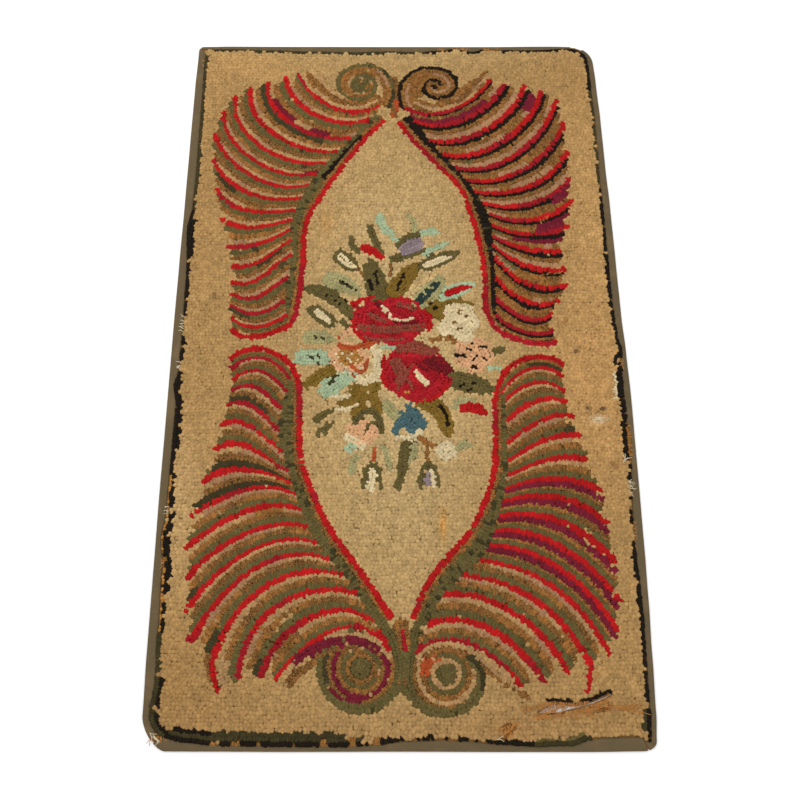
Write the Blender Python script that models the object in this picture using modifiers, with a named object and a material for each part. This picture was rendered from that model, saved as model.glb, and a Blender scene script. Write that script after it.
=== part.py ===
"""Hooked rug with a folded tape binding, lying flat.

The hooked panel is one solid: the foundation cloth with its hem, and the looped pile on it,
which stops where the binding tape begins. Four lengths of tape fold over the hem, one for
each edge. All of it follows one family of outlines, drawn in from the rug's own uneven edge.

Metres, +Z up, +Y along the rug's length. The origin is on the floor under the rug's centre.
"""

import math

import bmesh
import bpy

MM = 0.001

# Overall size of the rug over its binding
WIDTH = 0.9314
LENGTH = 1.530

# Heights of the layers, from the floor
TAPE_THICKNESS = 1.0 * MM
SEWN_GAP = 0.3 * MM
CLOTH_THICKNESS = 1.3 * MM
HEM_BOTTOM = TAPE_THICKNESS + SEWN_GAP
HEM_TOP = HEM_BOTTOM + CLOTH_THICKNESS
TAPE_TOP = HEM_TOP + SEWN_GAP + TAPE_THICKNESS
PILE_TOP = 8.0 * MM
PILE_SHOULDER = 1.6 * MM
PILE_ROUNDING = 3.6 * MM

# The slow waves of the pile's top: their size, and how fast they turn along X and Y (radians
# per metre) and where they begin
NAP_WAVE = 0.35 * MM
SLOW_WAVE = {"x": 7.1, "y": 5.3, "x_start": 0.6, "y_start": -0.4, "share": 1.0}
QUICK_WAVE = {"x": 15.7, "y": 9.2, "share": 0.6}

# How far the layers are drawn in from the outer edge
FOLD_RADIUS = 1.6 * MM
FOLD_CORNER = 0.3 * MM
FOLD_STEPS = (0.22, 0.5, 0.78)
HEM_INSET = TAPE_THICKNESS + 1.1 * MM
UNDER_FLAP = 17.5 * MM
BASE_INSET = 18.2 * MM
PILE_GAP = 0.8 * MM
PILE_RINGS_IN = (0.040, 0.085, 0.140, 0.210, 0.290, 0.370)

# Spacing of the points along an edge, and their number in a corner
STATION_PITCH = 0.030
CORNER_STEPS = 6
SMALLEST_REACH = 3.0 * MM
CLOSEST_PLACES = 0.002
JUST_BEFORE = 1.0e-9

# The edges, walked counter-clockwise: each side is followed by the corner at its end
BOTTOM, RIGHT, TOP, LEFT = 0, 2, 4, 6
BOTTOM_RIGHT, TOP_RIGHT, TOP_LEFT, BOTTOM_LEFT = 1, 3, 5, 7
TURN = 8

# Unevenness of each side. Columns: place along the side (mm), distance inside the overall box (mm)
DRAWN_IN = {
    BOTTOM: ((-430, 1.0), (-340, 0.7), (-200, 0.2), (0, 0.6), (200, 0.0), (330, 0.0), (440, 1.2)),
    RIGHT: ((-750, 13.0), (-700, 9.4), (-600, 6.6), (-500, 3.8), (-400, 2.2), (-250, 1.0),
            (-100, 0.0), (0, 1.6), (80, 4.4), (200, 5.2), (340, 6.2), (440, 8.4), (560, 9.3),
            (660, 12.0), (740, 15.0)),
    TOP: ((-440, 1.0), (-390, 0.0), (-250, 0.8), (0, 1.2), (200, 1.4), (350, 0.2), (420, 1.6)),
    LEFT: ((-700, 2.6), (-600, 1.0), (-450, 0.6), (-300, 0.0), (-150, 0.6), (50, 0.8), (200, 1.8),
           (350, 3.2), (500, 4.0), (650, 5.0), (740, 7.0)),
}

# Width of tape that shows on top. Columns: place along the side (mm), width (mm)
TAPE_SHOWN = {
    BOTTOM: ((-430, 24.0), (-380, 15.0), (-330, 10.0), (-200, 9.0), (-100, 8.0), (-50, 10.0),
             (0, 17.0), (60, 19.0), (120, 17.0), (180, 12.0), (240, 9.0), (300, 11.0),
             (335, 21.0), (370, 24.0), (440, 24.0)),
    RIGHT: ((-740, 10.0), (-640, 12.0), (-560, 12.0), (-480, 14.0), (-420, 17.5), (-350, 17.5),
            (-290, 15.0), (-230, 11.0), (-180, 8.0), (-140, 15.0), (-90, 16.5), (-40, 14.0),
            (0, 8.0), (35, 14.0), (120, 16.5), (250, 16.0), (400, 16.0), (500, 13.5),
            (620, 13.5), (740, 13.0)),
    TOP: ((-440, 8.0), (-400, 9.0), (-300, 12.0), (-200, 15.0), (-110, 17.0), (-20, 14.0),
          (40, 16.0), (100, 12.0), (135, 6.0), (170, 15.0), (210, 6.5), (240, 10.0),
          (310, 12.0), (400, 7.0)),
    LEFT: ((-700, 13.0), (-640, 20.0), (-560, 18.0), (-440, 17.0), (-385, 10.0), (-340, 16.0),
           (-220, 18.0), (-110, 18.0), (-75, 11.0), (-40, 18.0), (60, 20.0), (160, 18.0),
           (230, 16.0), (285, 11.0), (340, 18.0), (420, 20.0), (600, 19.0), (740, 17.0)),
}

# Corners. Columns: reach along the top or bottom (mm), reach along the left or right (mm),
# fullness (2 is a quarter of an ellipse, 1 is a straight cut)
CORNERS = {
    BOTTOM_RIGHT: (26.0, 17.0, 2.0),
    TOP_RIGHT: (49.0, 51.0, 2.1),
    TOP_LEFT: (12.0, 14.0, 2.2),
    BOTTOM_LEFT: (44.0, 58.0, 1.55),
}

# The lengths of tape. Columns: node, first place on the walk, last place on the walk
TAPES = (
    ("binding_bottom", 7.62, 9.22),
    ("binding_right", 1.30, 3.64),
    ("binding_top", 4.00, 5.40),
    ("binding_left", 5.50, 7.54),
)

# Tear through the panel. Columns: place along X, its middle in Y, half its gap (mm)
TEAR = (
    (248.0, -698.5, 0.8),
    (262.0, -694.5, 4.0),
    (280.0, -692.5, 6.2),
    (302.0, -694.0, 4.4),
    (322.0, -690.5, 2.8),
    (342.0, -683.5, 2.2),
    (362.0, -677.0, 1.7),
    (380.0, -668.0, 0.8),
)
TEAR_DEPTH = 30.0 * MM

# Bald patch, worn through the pile down to the cloth. Columns: X (mm), Y (mm)
BALD_PATCH = ((183, -719), (194, -723), (204, -716), (207, -722), (199, -729), (196, -739), (188, -733))
BALD_FLOOR = 3.4 * MM

# Points of a cutter that are closer than this are one point
WELD_DISTANCE = 0.00001

# Offset from the photographed outline's centre line to the middle of the overall box
OUTLINE_SHIFT = -3.3

WOOL_COLOUR = (0.52, 0.37, 0.20, 1.0)
TAPE_COLOUR = (0.14, 0.105, 0.065, 1.0)


def clear_scene():
    """Remove what a new file starts with."""
    for thing in list(bpy.data.objects):
        bpy.data.objects.remove(thing, do_unlink=True)


def new_collection(name):
    """A collection of the given name, linked to the scene."""
    collection = bpy.data.collections.new(name)
    bpy.context.scene.collection.children.link(collection)
    return collection


def cloth_material(name, colour, roughness):
    """A plain cloth finish."""
    material = bpy.data.materials.new(name)
    material.use_nodes = True
    shader = material.node_tree.nodes["Principled BSDF"]
    shader.inputs["Base Color"].default_value = colour
    shader.inputs["Roughness"].default_value = roughness
    shader.inputs["Metallic"].default_value = 0.0
    return material


def read_table(rows, place):
    """Value of a two-column table at a place, eased from row to row."""
    if place <= rows[0][0]:
        return rows[0][1]
    for (place_a, value_a), (place_b, value_b) in zip(rows, rows[1:]):
        if place <= place_b:
            part = (place - place_a) / (place_b - place_a)
            eased = part * part * (3.0 - 2.0 * part)
            return value_a + (value_b - value_a) * eased
    return rows[-1][1]


def side_place(side):
    """Where a straight side of the overall box lies, across its own direction."""
    return {BOTTOM: -LENGTH / 2, RIGHT: WIDTH / 2, TOP: LENGTH / 2, LEFT: -WIDTH / 2}[side]


def drawn_in(side, along, inset):
    """How far inside the overall box a side lies, which evens out towards the middle."""
    even = max(0.0, 1.0 - inset / abs(side_place(side)))
    return read_table(DRAWN_IN[side], along / MM) * MM * even


def side_line(side, along, inset):
    """Point on a side: along it in metres, and drawn in by the inset."""
    place = side_place(side)
    across = math.copysign(abs(place) - drawn_in(side, along, inset) - inset, place)
    return (along, across) if side in (BOTTOM, TOP) else (across, along)


def corner_reach(corner, inset):
    """How far a corner reaches along both of its sides, for an outline drawn in by the inset."""
    reach_x, reach_y, _ = CORNERS[corner]
    return (max(reach_x * MM - inset, SMALLEST_REACH), max(reach_y * MM - inset, SMALLEST_REACH))


def side_ends(side, inset):
    """Both ends of a side, in metres along it, in the direction of the walk."""
    axis = 0 if side in (BOTTOM, TOP) else 1
    ends = []
    for neighbour, corner in (((side - 2) % TURN, (side - 1) % TURN), ((side + 2) % TURN, side + 1)):
        place = side_place(neighbour)
        back = drawn_in(neighbour, side_place(side), inset) + inset + corner_reach(corner, inset)[axis]
        ends.append(math.copysign(abs(place) - back, place))
    return ends


def rim_point(walk, inset):
    """Point of the outline family: a place on the walk round the rug, drawn in by the inset."""
    walk = walk % TURN
    stretch = int(walk)
    part = walk - stretch
    if stretch in (BOTTOM, RIGHT, TOP, LEFT):
        start, end = side_ends(stretch, inset)
        return side_line(stretch, start + (end - start) * part, inset)
    before = stretch - 1
    after = (stretch + 1) % TURN
    first = side_line(before, side_ends(before, inset)[1], inset)
    last = side_line(after, side_ends(after, inset)[0], inset)
    if before in (BOTTOM, TOP):
        middle = (first[0], last[1])
    else:
        middle = (last[0], first[1])
    power = 2.0 / CORNERS[stretch][2]
    angle = part * math.pi / 2
    of_first = math.cos(angle) ** power if part < 1.0 else 0.0
    of_last = math.sin(angle) ** power if part > 0.0 else 0.0
    return tuple(m + (f - m) * of_first + (e - m) * of_last for m, f, e in zip(middle, first, last))


def tape_width(walk):
    """Width of tape that shows on top at a place on the walk."""
    walk = walk % TURN
    stretch = int(walk)
    part = walk - stretch
    if stretch in (BOTTOM, RIGHT, TOP, LEFT):
        start, end = side_ends(stretch, 0.0)
        return read_table(TAPE_SHOWN[stretch], (start + (end - start) * part) / MM) * MM
    before = tape_width(stretch - JUST_BEFORE)
    after = tape_width((stretch + 1) % TURN)
    return before + (after - before) * part


def walk_places():
    """The places on the walk at which every outline has its points, tape ends among them."""
    places = [end % TURN for _, first, last in TAPES for end in (first, last)]
    for stretch in range(TURN):
        if stretch in (BOTTOM, RIGHT, TOP, LEFT):
            start, end = side_ends(stretch, 0.0)
            steps = max(2, round(abs(end - start) / STATION_PITCH))
        else:
            steps = CORNER_STEPS
        places += [stretch + step / steps for step in range(steps)]
    places = sorted(places)
    return [a for a, b in zip(places, places[1:] + [TURN]) if b - a > CLOSEST_PLACES]


def nap_height(x, y):
    """Height of the pile's top, which waves a little where the cloth has relaxed."""
    slow = math.sin(x * SLOW_WAVE["x"] + SLOW_WAVE["x_start"])
    slow *= math.cos(y * SLOW_WAVE["y"] + SLOW_WAVE["y_start"])
    quick = math.sin(x * QUICK_WAVE["x"] + y * QUICK_WAVE["y"])
    return PILE_TOP + NAP_WAVE * (SLOW_WAVE["share"] * slow + QUICK_WAVE["share"] * quick)


def panel_rings():
    """The panel's sections, from its underside up the edge and in over the pile.

    Each is a function of the place on the walk that gives the inset and the height; a height
    of None is the top of the pile.
    """
    def pile_inset(walk):
        return tape_width(walk) + PILE_GAP

    rings = [
        lambda walk: (BASE_INSET, 0.0),
        lambda walk: (BASE_INSET, HEM_BOTTOM),
        lambda walk: (HEM_INSET, HEM_BOTTOM),
        lambda walk: (HEM_INSET, HEM_TOP),
        lambda walk: (pile_inset(walk), HEM_TOP),
        lambda walk: (pile_inset(walk), PILE_TOP - 2.0 * PILE_SHOULDER),
        lambda walk: (pile_inset(walk) + PILE_ROUNDING / 3, PILE_TOP - PILE_SHOULDER / 2),
        lambda walk: (pile_inset(walk) + PILE_ROUNDING, None),
    ]
    for inset in PILE_RINGS_IN:
        rings.append(lambda walk, inset=inset: (inset, None))
    return rings


def build_panel(collection, material):
    """The hooked panel: rings of the outline family joined into one closed solid."""
    mesh = bpy.data.meshes.new("hooked_panel")
    shape = bmesh.new()
    places = walk_places()
    loops = []
    for ring in panel_rings():
        loop = []
        for walk in places:
            inset, height = ring(walk)
            x, y = rim_point(walk, inset)
            z = nap_height(x, y) if height is None else height
            loop.append(shape.verts.new((x, y, z)))
        loops.append(loop)
    count = len(places)
    for lower, upper in zip(loops, loops[1:]):
        for i in range(count):
            j = (i + 1) % count
            shape.faces.new((lower[i], lower[j], upper[j], upper[i]))
    shape.faces.new(list(reversed(loops[0])))
    shape.faces.new(loops[-1])
    bmesh.ops.recalc_face_normals(shape, faces=shape.faces)
    shape.to_mesh(mesh)
    shape.free()
    mesh.materials.append(material)
    panel = bpy.data.objects.new("hooked_panel", mesh)
    collection.objects.link(panel)
    return panel


def tape_section(walk):
    """The tape's outer skin at a place on the walk. Columns: inset, height."""
    low, middle, high = (step * TAPE_TOP for step in FOLD_STEPS)
    return (
        (UNDER_FLAP, 0.0),
        (FOLD_RADIUS, 0.0),
        (FOLD_CORNER, low),
        (0.0, middle),
        (FOLD_CORNER, high),
        (FOLD_RADIUS, TAPE_TOP),
        (tape_width(walk), TAPE_TOP),
    )


def build_tape(name, walk_start, walk_end, collection, material):
    """One length of tape, folded over the hem: an open skin, thickened inwards."""
    inside = [p + lap * TURN for lap in (0, 1) for p in walk_places()]
    inside = [p for p in inside if walk_start + CLOSEST_PLACES < p < walk_end - CLOSEST_PLACES]
    places = [walk_start] + inside + [walk_end]
    mesh = bpy.data.meshes.new(name)
    shape = bmesh.new()
    rows = []
    for walk in places:
        row = []
        for inset, height in tape_section(walk):
            x, y = rim_point(walk, inset)
            row.append(shape.verts.new((x, y, height)))
        rows.append(row)
    for row, following in zip(rows, rows[1:]):
        for k in range(len(row) - 1):
            shape.faces.new((row[k], following[k], following[k + 1], row[k + 1]))
    shape.to_mesh(mesh)
    shape.free()
    mesh.materials.append(material)
    tape = bpy.data.objects.new(name, mesh)
    collection.objects.link(tape)
    wall = tape.modifiers.new("cloth thickness", "SOLIDIFY")
    wall.thickness = TAPE_THICKNESS
    wall.offset = -1.0
    wall.use_even_offset = True
    return tape


def flat_cutter(name, outline, low, high, collection):
    """A closed prism on a flat outline, from one height to another."""
    curve = bpy.data.curves.new(name, "CURVE")
    curve.dimensions = "2D"
    curve.fill_mode = "BOTH"
    curve.extrude = (high - low) / 2
    spline = curve.splines.new("POLY")
    spline.points.add(len(outline) - 1)
    for point, (x, y) in zip(spline.points, outline):
        point.co = (x, y, 0.0, 1.0)
    spline.use_cyclic_u = True
    drawn = bpy.data.objects.new(name + "_curve", curve)
    drawn.location = (0.0, 0.0, (low + high) / 2)
    collection.objects.link(drawn)
    bpy.context.view_layer.update()
    evaluated = drawn.evaluated_get(bpy.context.evaluated_depsgraph_get())
    mesh = bpy.data.meshes.new_from_object(evaluated)
    shape = bmesh.new()
    shape.from_mesh(mesh)
    bmesh.ops.remove_doubles(shape, verts=shape.verts, dist=WELD_DISTANCE)
    bmesh.ops.recalc_face_normals(shape, faces=shape.faces)
    shape.to_mesh(mesh)
    shape.free()
    cutter = bpy.data.objects.new(name, mesh)
    cutter.matrix_world = drawn.matrix_world
    collection.objects.link(cutter)
    bpy.data.objects.remove(drawn, do_unlink=True)
    cutter.hide_render = True
    cutter.display_type = "WIRE"
    return cutter


def cut_away(target, cutter):
    """Take the cutter's space out of the target."""
    cut = target.modifiers.new(cutter.name, "BOOLEAN")
    cut.operation = "DIFFERENCE"
    cut.solver = "EXACT"
    cut.object = cutter


def tear_outline():
    """Outline of the tear: its upper lip from left to right, and back along the lower one."""
    upper = [((x + OUTLINE_SHIFT) * MM, (y + half) * MM) for x, y, half in TEAR]
    lower = [((x + OUTLINE_SHIFT) * MM, (y - half) * MM) for x, y, half in reversed(TEAR)]
    return upper + lower


def build_rug():
    """Build the panel, its tear and bald patch, and the four lengths of tape."""
    clear_scene()
    parts = new_collection("hooked_rug")
    cutters = new_collection("cutters")
    wool = cloth_material("wool_pile", WOOL_COLOUR, 0.95)
    tape = cloth_material("binding_tape", TAPE_COLOUR, 0.9)
    panel = build_panel(parts, wool)
    tear = flat_cutter("tear", tear_outline(), -TEAR_DEPTH / 2, TEAR_DEPTH / 2, cutters)
    cut_away(panel, tear)
    patch = [((x + OUTLINE_SHIFT) * MM, y * MM) for x, y in BALD_PATCH]
    bald = flat_cutter("bald_patch", patch, BALD_FLOOR, TEAR_DEPTH, cutters)
    cut_away(panel, bald)
    for name, walk_start, walk_end in TAPES:
        build_tape(name, walk_start, walk_end, parts, tape)


build_rug()
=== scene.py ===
"""Looks of the hooked rug: wool loops, jute foundation and folded binding tape.

Every loop of wool is its own small form. Rows of loops follow the ornament, which is laid out
here from a few key ribs, spirals, petals and leaves, and the plain ground is hooked round it.
Lengths in the ornament's tables are in millimetres on the rug, everything else in metres.
"""

import logging
import math
import random
from dataclasses import dataclass, field
from enum import Enum
from typing import Callable, Iterable, Sequence

import bmesh
import bpy
import numpy as np
from bpy.types import Material, Mesh, Node, NodeSocket, NodeTree, Object, bpy_prop_collection
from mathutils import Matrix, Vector, kdtree, noise

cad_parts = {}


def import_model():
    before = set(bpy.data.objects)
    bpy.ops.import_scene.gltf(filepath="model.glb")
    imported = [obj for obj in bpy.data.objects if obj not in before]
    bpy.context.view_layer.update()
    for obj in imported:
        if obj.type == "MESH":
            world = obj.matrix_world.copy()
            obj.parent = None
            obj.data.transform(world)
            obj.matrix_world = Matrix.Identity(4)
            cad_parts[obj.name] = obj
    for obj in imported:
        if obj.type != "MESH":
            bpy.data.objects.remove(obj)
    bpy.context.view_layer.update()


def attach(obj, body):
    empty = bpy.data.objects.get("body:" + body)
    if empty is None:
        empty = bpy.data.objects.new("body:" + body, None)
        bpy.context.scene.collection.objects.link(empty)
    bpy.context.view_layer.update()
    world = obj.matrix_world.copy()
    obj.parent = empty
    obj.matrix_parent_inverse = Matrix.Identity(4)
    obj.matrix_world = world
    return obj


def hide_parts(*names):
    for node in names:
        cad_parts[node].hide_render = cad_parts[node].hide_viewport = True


Point = tuple[float, float]
Colour = tuple[float, float, float]

LOG = logging.getLogger("hooked_rug")
MM = 0.001
SEED = 1907
# A loop of the ornament, along its row and across it, in millimetres, and how far it may twist
LONG, WIDE, TWIST = 6.4, 8.5, 0.35


def linear(red: float, green: float, blue: float) -> Colour:
    """A colour seen as 0-255 values, as the linear values a shader takes."""
    parts = []
    for value in (red / 255, green / 255, blue / 255):
        parts.append(value / 12.92 if value <= 0.04045 else ((value + 0.055) / 1.055) ** 2.4)
    return tuple(parts)


def eased(part: float) -> float:
    """A share from 0 to 1, slowed at both ends."""
    return part * part * (3.0 - 2.0 * part)


def mixed(first: Colour, second: Colour, share: float) -> Colour:
    """Two colours mixed, the share being the second's."""
    return tuple(a + (b - a) * share for a, b in zip(first, second))


class Dye(Enum):
    """The dyed wools of the rug, as they look by daylight."""

    OAT = (164, 129, 81)
    SCARLET = (166, 21, 25)
    CRIMSON = (146, 22, 32)
    MAROON = (100, 20, 28)
    PLUM = (106, 26, 42)
    OLIVE = (82, 75, 42)
    DARK_OLIVE = (58, 53, 32)
    TAN = (162, 126, 84)
    PINKISH = (148, 110, 80)
    BROWN = (92, 51, 21)
    TWEED = (117, 71, 31)
    GOLD = (156, 104, 44)
    MOSS = (116, 90, 36)
    BLACK = (24, 20, 17)
    IVORY = (202, 183, 143)
    MINT = (152, 168, 134)
    BLUE = (70, 97, 100)
    LAVENDER = (132, 116, 118)
    PEACH = (198, 151, 110)
    RUST = (164, 72, 38)
    SAGE = (150, 142, 98)
    MAUVE = (122, 50, 44)
    TEAL = (34, 50, 46)
    ROSE = (160, 26, 36)


D = Dye
# How much of each wool is mixed from flecks, as in a tweed cloth cut to strips
FLECKS = {D.BROWN: 0.9, D.TWEED: 0.8, D.GOLD: 0.7, D.TAN: 0.3, D.PINKISH: 0.45, D.OLIVE: 0.25,
          D.OAT: 0.34, D.MAUVE: 0.3}
PLAIN_FLECKS = 0.04
# How much the shade changes from loop to loop
MOTTLE = {D.OAT: 0.17, D.BROWN: 0.55, D.TWEED: 0.5, D.GOLD: 0.22, D.TAN: 0.16, D.PINKISH: 0.16,
          D.SCARLET: 0.13, D.CRIMSON: 0.14, D.ROSE: 0.16, D.MAUVE: 0.2, D.OLIVE: 0.14}
PLAIN_MOTTLE = 0.1


# --- The outline family of the rug, with the same values as its solids ---

BOTTOM, BOTTOM_RIGHT, RIGHT, TOP_RIGHT, TOP, TOP_LEFT, LEFT, BOTTOM_LEFT = range(8)
SIDES = (BOTTOM, RIGHT, TOP, LEFT)
TURN = 8
CORNER_LENGTH = 0.07
# Between the tape and the nearest loops, and half a row's width, in millimetres
CLEARANCE, HALF_ROW = 0.8, 3.2
# Points of a rib's path, and the place a little further on that its width is measured to
RIB_STEPS, PLACE_STEP = 60, 0.25


@dataclass(frozen=True)
class Rim:
    """The rug's uneven edge, and every outline drawn in from it."""

    width: float = 0.9314
    length: float = 1.530
    smallest_reach: float = 3.0 * MM
    drawn: dict = field(default_factory=lambda: {
        BOTTOM: ((-430, 1), (-340, 0.7), (-200, 0.2), (0, 0.6), (200, 0), (330, 0), (440, 1.2)),
        RIGHT: ((-750, 13), (-700, 9.4), (-600, 6.6), (-500, 3.8), (-400, 2.2), (-250, 1),
                (-100, 0), (0, 1.6), (80, 4.4), (200, 5.2), (340, 6.2), (440, 8.4), (560, 9.3),
                (660, 12), (740, 15)),
        TOP: ((-440, 1), (-390, 0), (-250, 0.8), (0, 1.2), (200, 1.4), (350, 0.2), (420, 1.6)),
        LEFT: ((-700, 2.6), (-600, 1), (-450, 0.6), (-300, 0), (-150, 0.6), (50, 0.8),
               (200, 1.8), (350, 3.2), (500, 4), (650, 5), (740, 7)),
    })
    shown: dict = field(default_factory=lambda: {
        BOTTOM: ((-430, 24), (-380, 15), (-330, 10), (-200, 9), (-100, 8), (-50, 10),
                 (0, 17), (60, 19), (120, 17), (180, 12), (240, 9), (300, 11),
                 (335, 21), (370, 24), (440, 24)),
        RIGHT: ((-740, 10), (-640, 12), (-560, 12), (-480, 14), (-420, 17.5), (-350, 17.5),
                (-290, 15), (-230, 11), (-180, 8), (-140, 15), (-90, 16.5), (-40, 14),
                (0, 8), (35, 14), (120, 16.5), (250, 16), (400, 16), (500, 13.5),
                (620, 13.5), (740, 13)),
        TOP: ((-440, 8), (-400, 9), (-300, 12), (-200, 15), (-110, 17), (-20, 14),
              (40, 16), (100, 12), (135, 6), (170, 15), (210, 6.5), (240, 10),
              (310, 12), (400, 7)),
        LEFT: ((-700, 13), (-640, 20), (-560, 18), (-440, 17), (-385, 10), (-340, 16),
               (-220, 18), (-110, 18), (-75, 11), (-40, 18), (60, 20), (160, 18),
               (230, 16), (285, 11), (340, 18), (420, 20), (600, 19), (740, 17)),
    })
    corners: dict = field(default_factory=lambda: {
        BOTTOM_RIGHT: (26, 17, 2), TOP_RIGHT: (49, 51, 2.1),
        TOP_LEFT: (12, 14, 2.2), BOTTOM_LEFT: (44, 58, 1.55),
    })

    def read(self, rows: Sequence[Point], place: float) -> float:
        """Value of a two-column table at a place, eased from row to row.

        Args:
            rows: place and value, in rising order of place.
            place: where the table is read.

        Returns:
            The value there, level before the first row and after the last.
        """
        if place <= rows[0][0]:
            return rows[0][1]
        for (place_a, value_a), (place_b, value_b) in zip(rows, rows[1:]):
            if place <= place_b:
                share = eased((place - place_a) / (place_b - place_a))
                return value_a + (value_b - value_a) * share
        return rows[-1][1]

    def side_place(self, side: int) -> float:
        """Where a straight side of the overall box lies, across its own direction."""
        half_width, half_length = self.width / 2, self.length / 2
        return {BOTTOM: -half_length, RIGHT: half_width, TOP: half_length, LEFT: -half_width}[side]

    def drawn_in(self, side: int, along: float, inset: float) -> float:
        """How far inside the overall box a side lies, which evens out towards the middle."""
        even = max(0.0, 1.0 - inset / abs(self.side_place(side)))
        return self.read(self.drawn[side], along / MM) * MM * even

    def side_line(self, side: int, along: float, inset: float) -> Point:
        """Point on a side: along it in metres, and drawn in by the inset."""
        place = self.side_place(side)
        across = math.copysign(abs(place) - self.drawn_in(side, along, inset) - inset, place)
        return (along, across) if side in (BOTTOM, TOP) else (across, along)

    def side_ends(self, side: int, inset: float) -> list[float]:
        """Both ends of a side, in metres along it, in the direction of the walk.

        Args:
            side: one of the four straight sides.
            inset: how far the outline is drawn in.

        Returns:
            The two places, each a corner's reach short of the neighbouring side.
        """
        axis = 0 if side in (BOTTOM, TOP) else 1
        ends = []
        for near, corner in (((side - 2) % TURN, (side - 1) % TURN), ((side + 2) % TURN, side + 1)):
            place = self.side_place(near)
            reach = max(self.corners[corner][axis] * MM - inset, self.smallest_reach)
            back = self.drawn_in(near, self.side_place(side), inset) + inset + reach
            ends.append(math.copysign(abs(place) - back, place))
        return ends

    def point(self, walk: float, inset: float) -> Point:
        """Point of the outline family.

        Args:
            walk: place on the walk round the rug, from 0 to 8.
            inset: how far the outline is drawn in.

        Returns:
            X and Y in metres.
        """
        walk = walk % TURN
        stretch = int(walk)
        part = walk - stretch
        if stretch in SIDES:
            start, end = self.side_ends(stretch, inset)
            return self.side_line(stretch, start + (end - start) * part, inset)
        before, after = stretch - 1, (stretch + 1) % TURN
        first = self.side_line(before, self.side_ends(before, inset)[1], inset)
        last = self.side_line(after, self.side_ends(after, inset)[0], inset)
        middle = (first[0], last[1]) if before in (BOTTOM, TOP) else (last[0], first[1])
        power = 2.0 / self.corners[stretch][2]
        angle = part * math.pi / 2
        of_first = math.cos(angle) ** power if part < 1.0 else 0.0
        of_last = math.sin(angle) ** power if part > 0.0 else 0.0
        return tuple(m + (f - m) * of_first + (e - m) * of_last
                     for m, f, e in zip(middle, first, last))

    def tape_width(self, walk: float) -> float:
        """Width of tape that shows on top at a place on the walk.

        Args:
            walk: the place.

        Returns:
            The width in metres.
        """
        walk = walk % TURN
        stretch = int(walk)
        part = walk - stretch
        if stretch in SIDES:
            start, end = self.side_ends(stretch, 0.0)
            return self.read(self.shown[stretch], (start + (end - start) * part) / MM) * MM
        before = self.tape_width(stretch - 1.0e-9)
        after = self.tape_width((stretch + 1) % TURN)
        return before + (after - before) * part

    def walk_at(self, side: int, along: float) -> float:
        """Place on the walk of a point along a side, given in millimetres along X or Y."""
        start, end = self.side_ends(side, 0.0)
        return side + min(1.0, max(0.0, (along * MM - start) / (end - start)))

    def places(self, pitch: float, first: float = 0.0, last: float = TURN) -> list[float]:
        """Even places on the walk from first to last.

        Args:
            pitch: distance between neighbouring places.
            first: where the walk starts.
            last: where it ends, which may lie beyond a full turn.

        Returns:
            The places, both ends among them.
        """
        found = [first]
        walk = first
        while walk < last - 1e-9:
            stretch = int(walk % TURN)
            ends = self.side_ends(stretch, 0.0) if stretch in SIDES else (0.0, CORNER_LENGTH)
            step = pitch / abs(ends[1] - ends[0])
            boundary = math.floor(walk + 1e-9) + 1.0
            walk = min(walk + step, boundary, last)
            found.append(walk)
        return found


RIM = Rim()


# --- Paths that rows of loops follow ---


def between(four: Sequence[Sequence[float]], t: float) -> tuple[float, ...]:
    """Where a smooth curve past four points is at a share of the way from the second to the third.

    Args:
        four: the points.
        t: the share.

    Returns:
        The place.
    """
    return tuple(
        0.5 * (2 * b + (c - a) * t + (2 * a - 5 * b + 4 * c - d) * t * t
               + (3 * b - 3 * c + d - a) * t ** 3) for a, b, c, d in zip(*four))


def through(points: Sequence[Point], step: float = 2.0) -> list[Point]:
    """A smooth path through a few points.

    Args:
        points: the points it passes, in millimetres.
        step: distance between the path's own points.

    Returns:
        The path's points.
    """
    if len(points) == 2:
        points = (points[0], tuple((a + b) / 2 for a, b in zip(*points)), points[1])
    ends = [tuple(2 * a - b for a, b in zip(points[0], points[1])), *points,
            tuple(2 * a - b for a, b in zip(points[-1], points[-2]))]
    path = []
    for four in zip(ends, ends[1:], ends[2:], ends[3:]):
        count = max(2, int(math.dist(four[1], four[2]) / step))
        path += [between(four, i / count) for i in range(count)]
    path.append(tuple(points[-1]))
    return path


def walk_along(path: Sequence[Point], pitch: float, start: float = 0.0) -> Iterable[tuple]:
    """Even places on a path.

    Args:
        path: its points.
        pitch: distance between places.
        start: distance of the first from the path's start.

    Yields:
        X, Y, the path's direction in radians and the share of the path's length.
    """
    lengths = [math.dist(a, b) for a, b in zip(path, path[1:])]
    total = sum(lengths)
    if total <= 0.0:
        return
    wanted, passed = start, 0.0
    for (ax, ay), (bx, by), length in zip(path, path[1:], lengths):
        while length > 0.0 and wanted <= passed + length:
            t = (wanted - passed) / length
            yield ax + (bx - ax) * t, ay + (by - ay) * t, math.atan2(by - ay, bx - ax), wanted / total
            wanted += pitch
        passed += length


def beside(path: Sequence[Point], offset: float) -> list[Point]:
    """The path moved to its left by an offset.

    Args:
        path: its points.
        offset: how far it moves.

    Returns:
        The moved path's points.
    """
    moved = []
    for i, (x, y) in enumerate(path):
        ax, ay = path[max(0, i - 1)]
        bx, by = path[min(len(path) - 1, i + 1)]
        size = math.hypot(bx - ax, by - ay) or 1.0
        moved.append((x - (by - ay) / size * offset, y + (bx - ax) / size * offset))
    return moved


# --- Loops and where they stand ---


@dataclass
class Loop:
    """One loop of wool: where it stands, its size, its turn and its wool."""

    x: float
    y: float
    turn: float
    long: float
    wide: float
    dye: Dye
    group: str
    shade: float = 1.0
    tall: float = 1.0

    @property
    def radius(self) -> float:
        """Half of the loop's mean size."""
        return (self.long + self.wide) / 4


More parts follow.
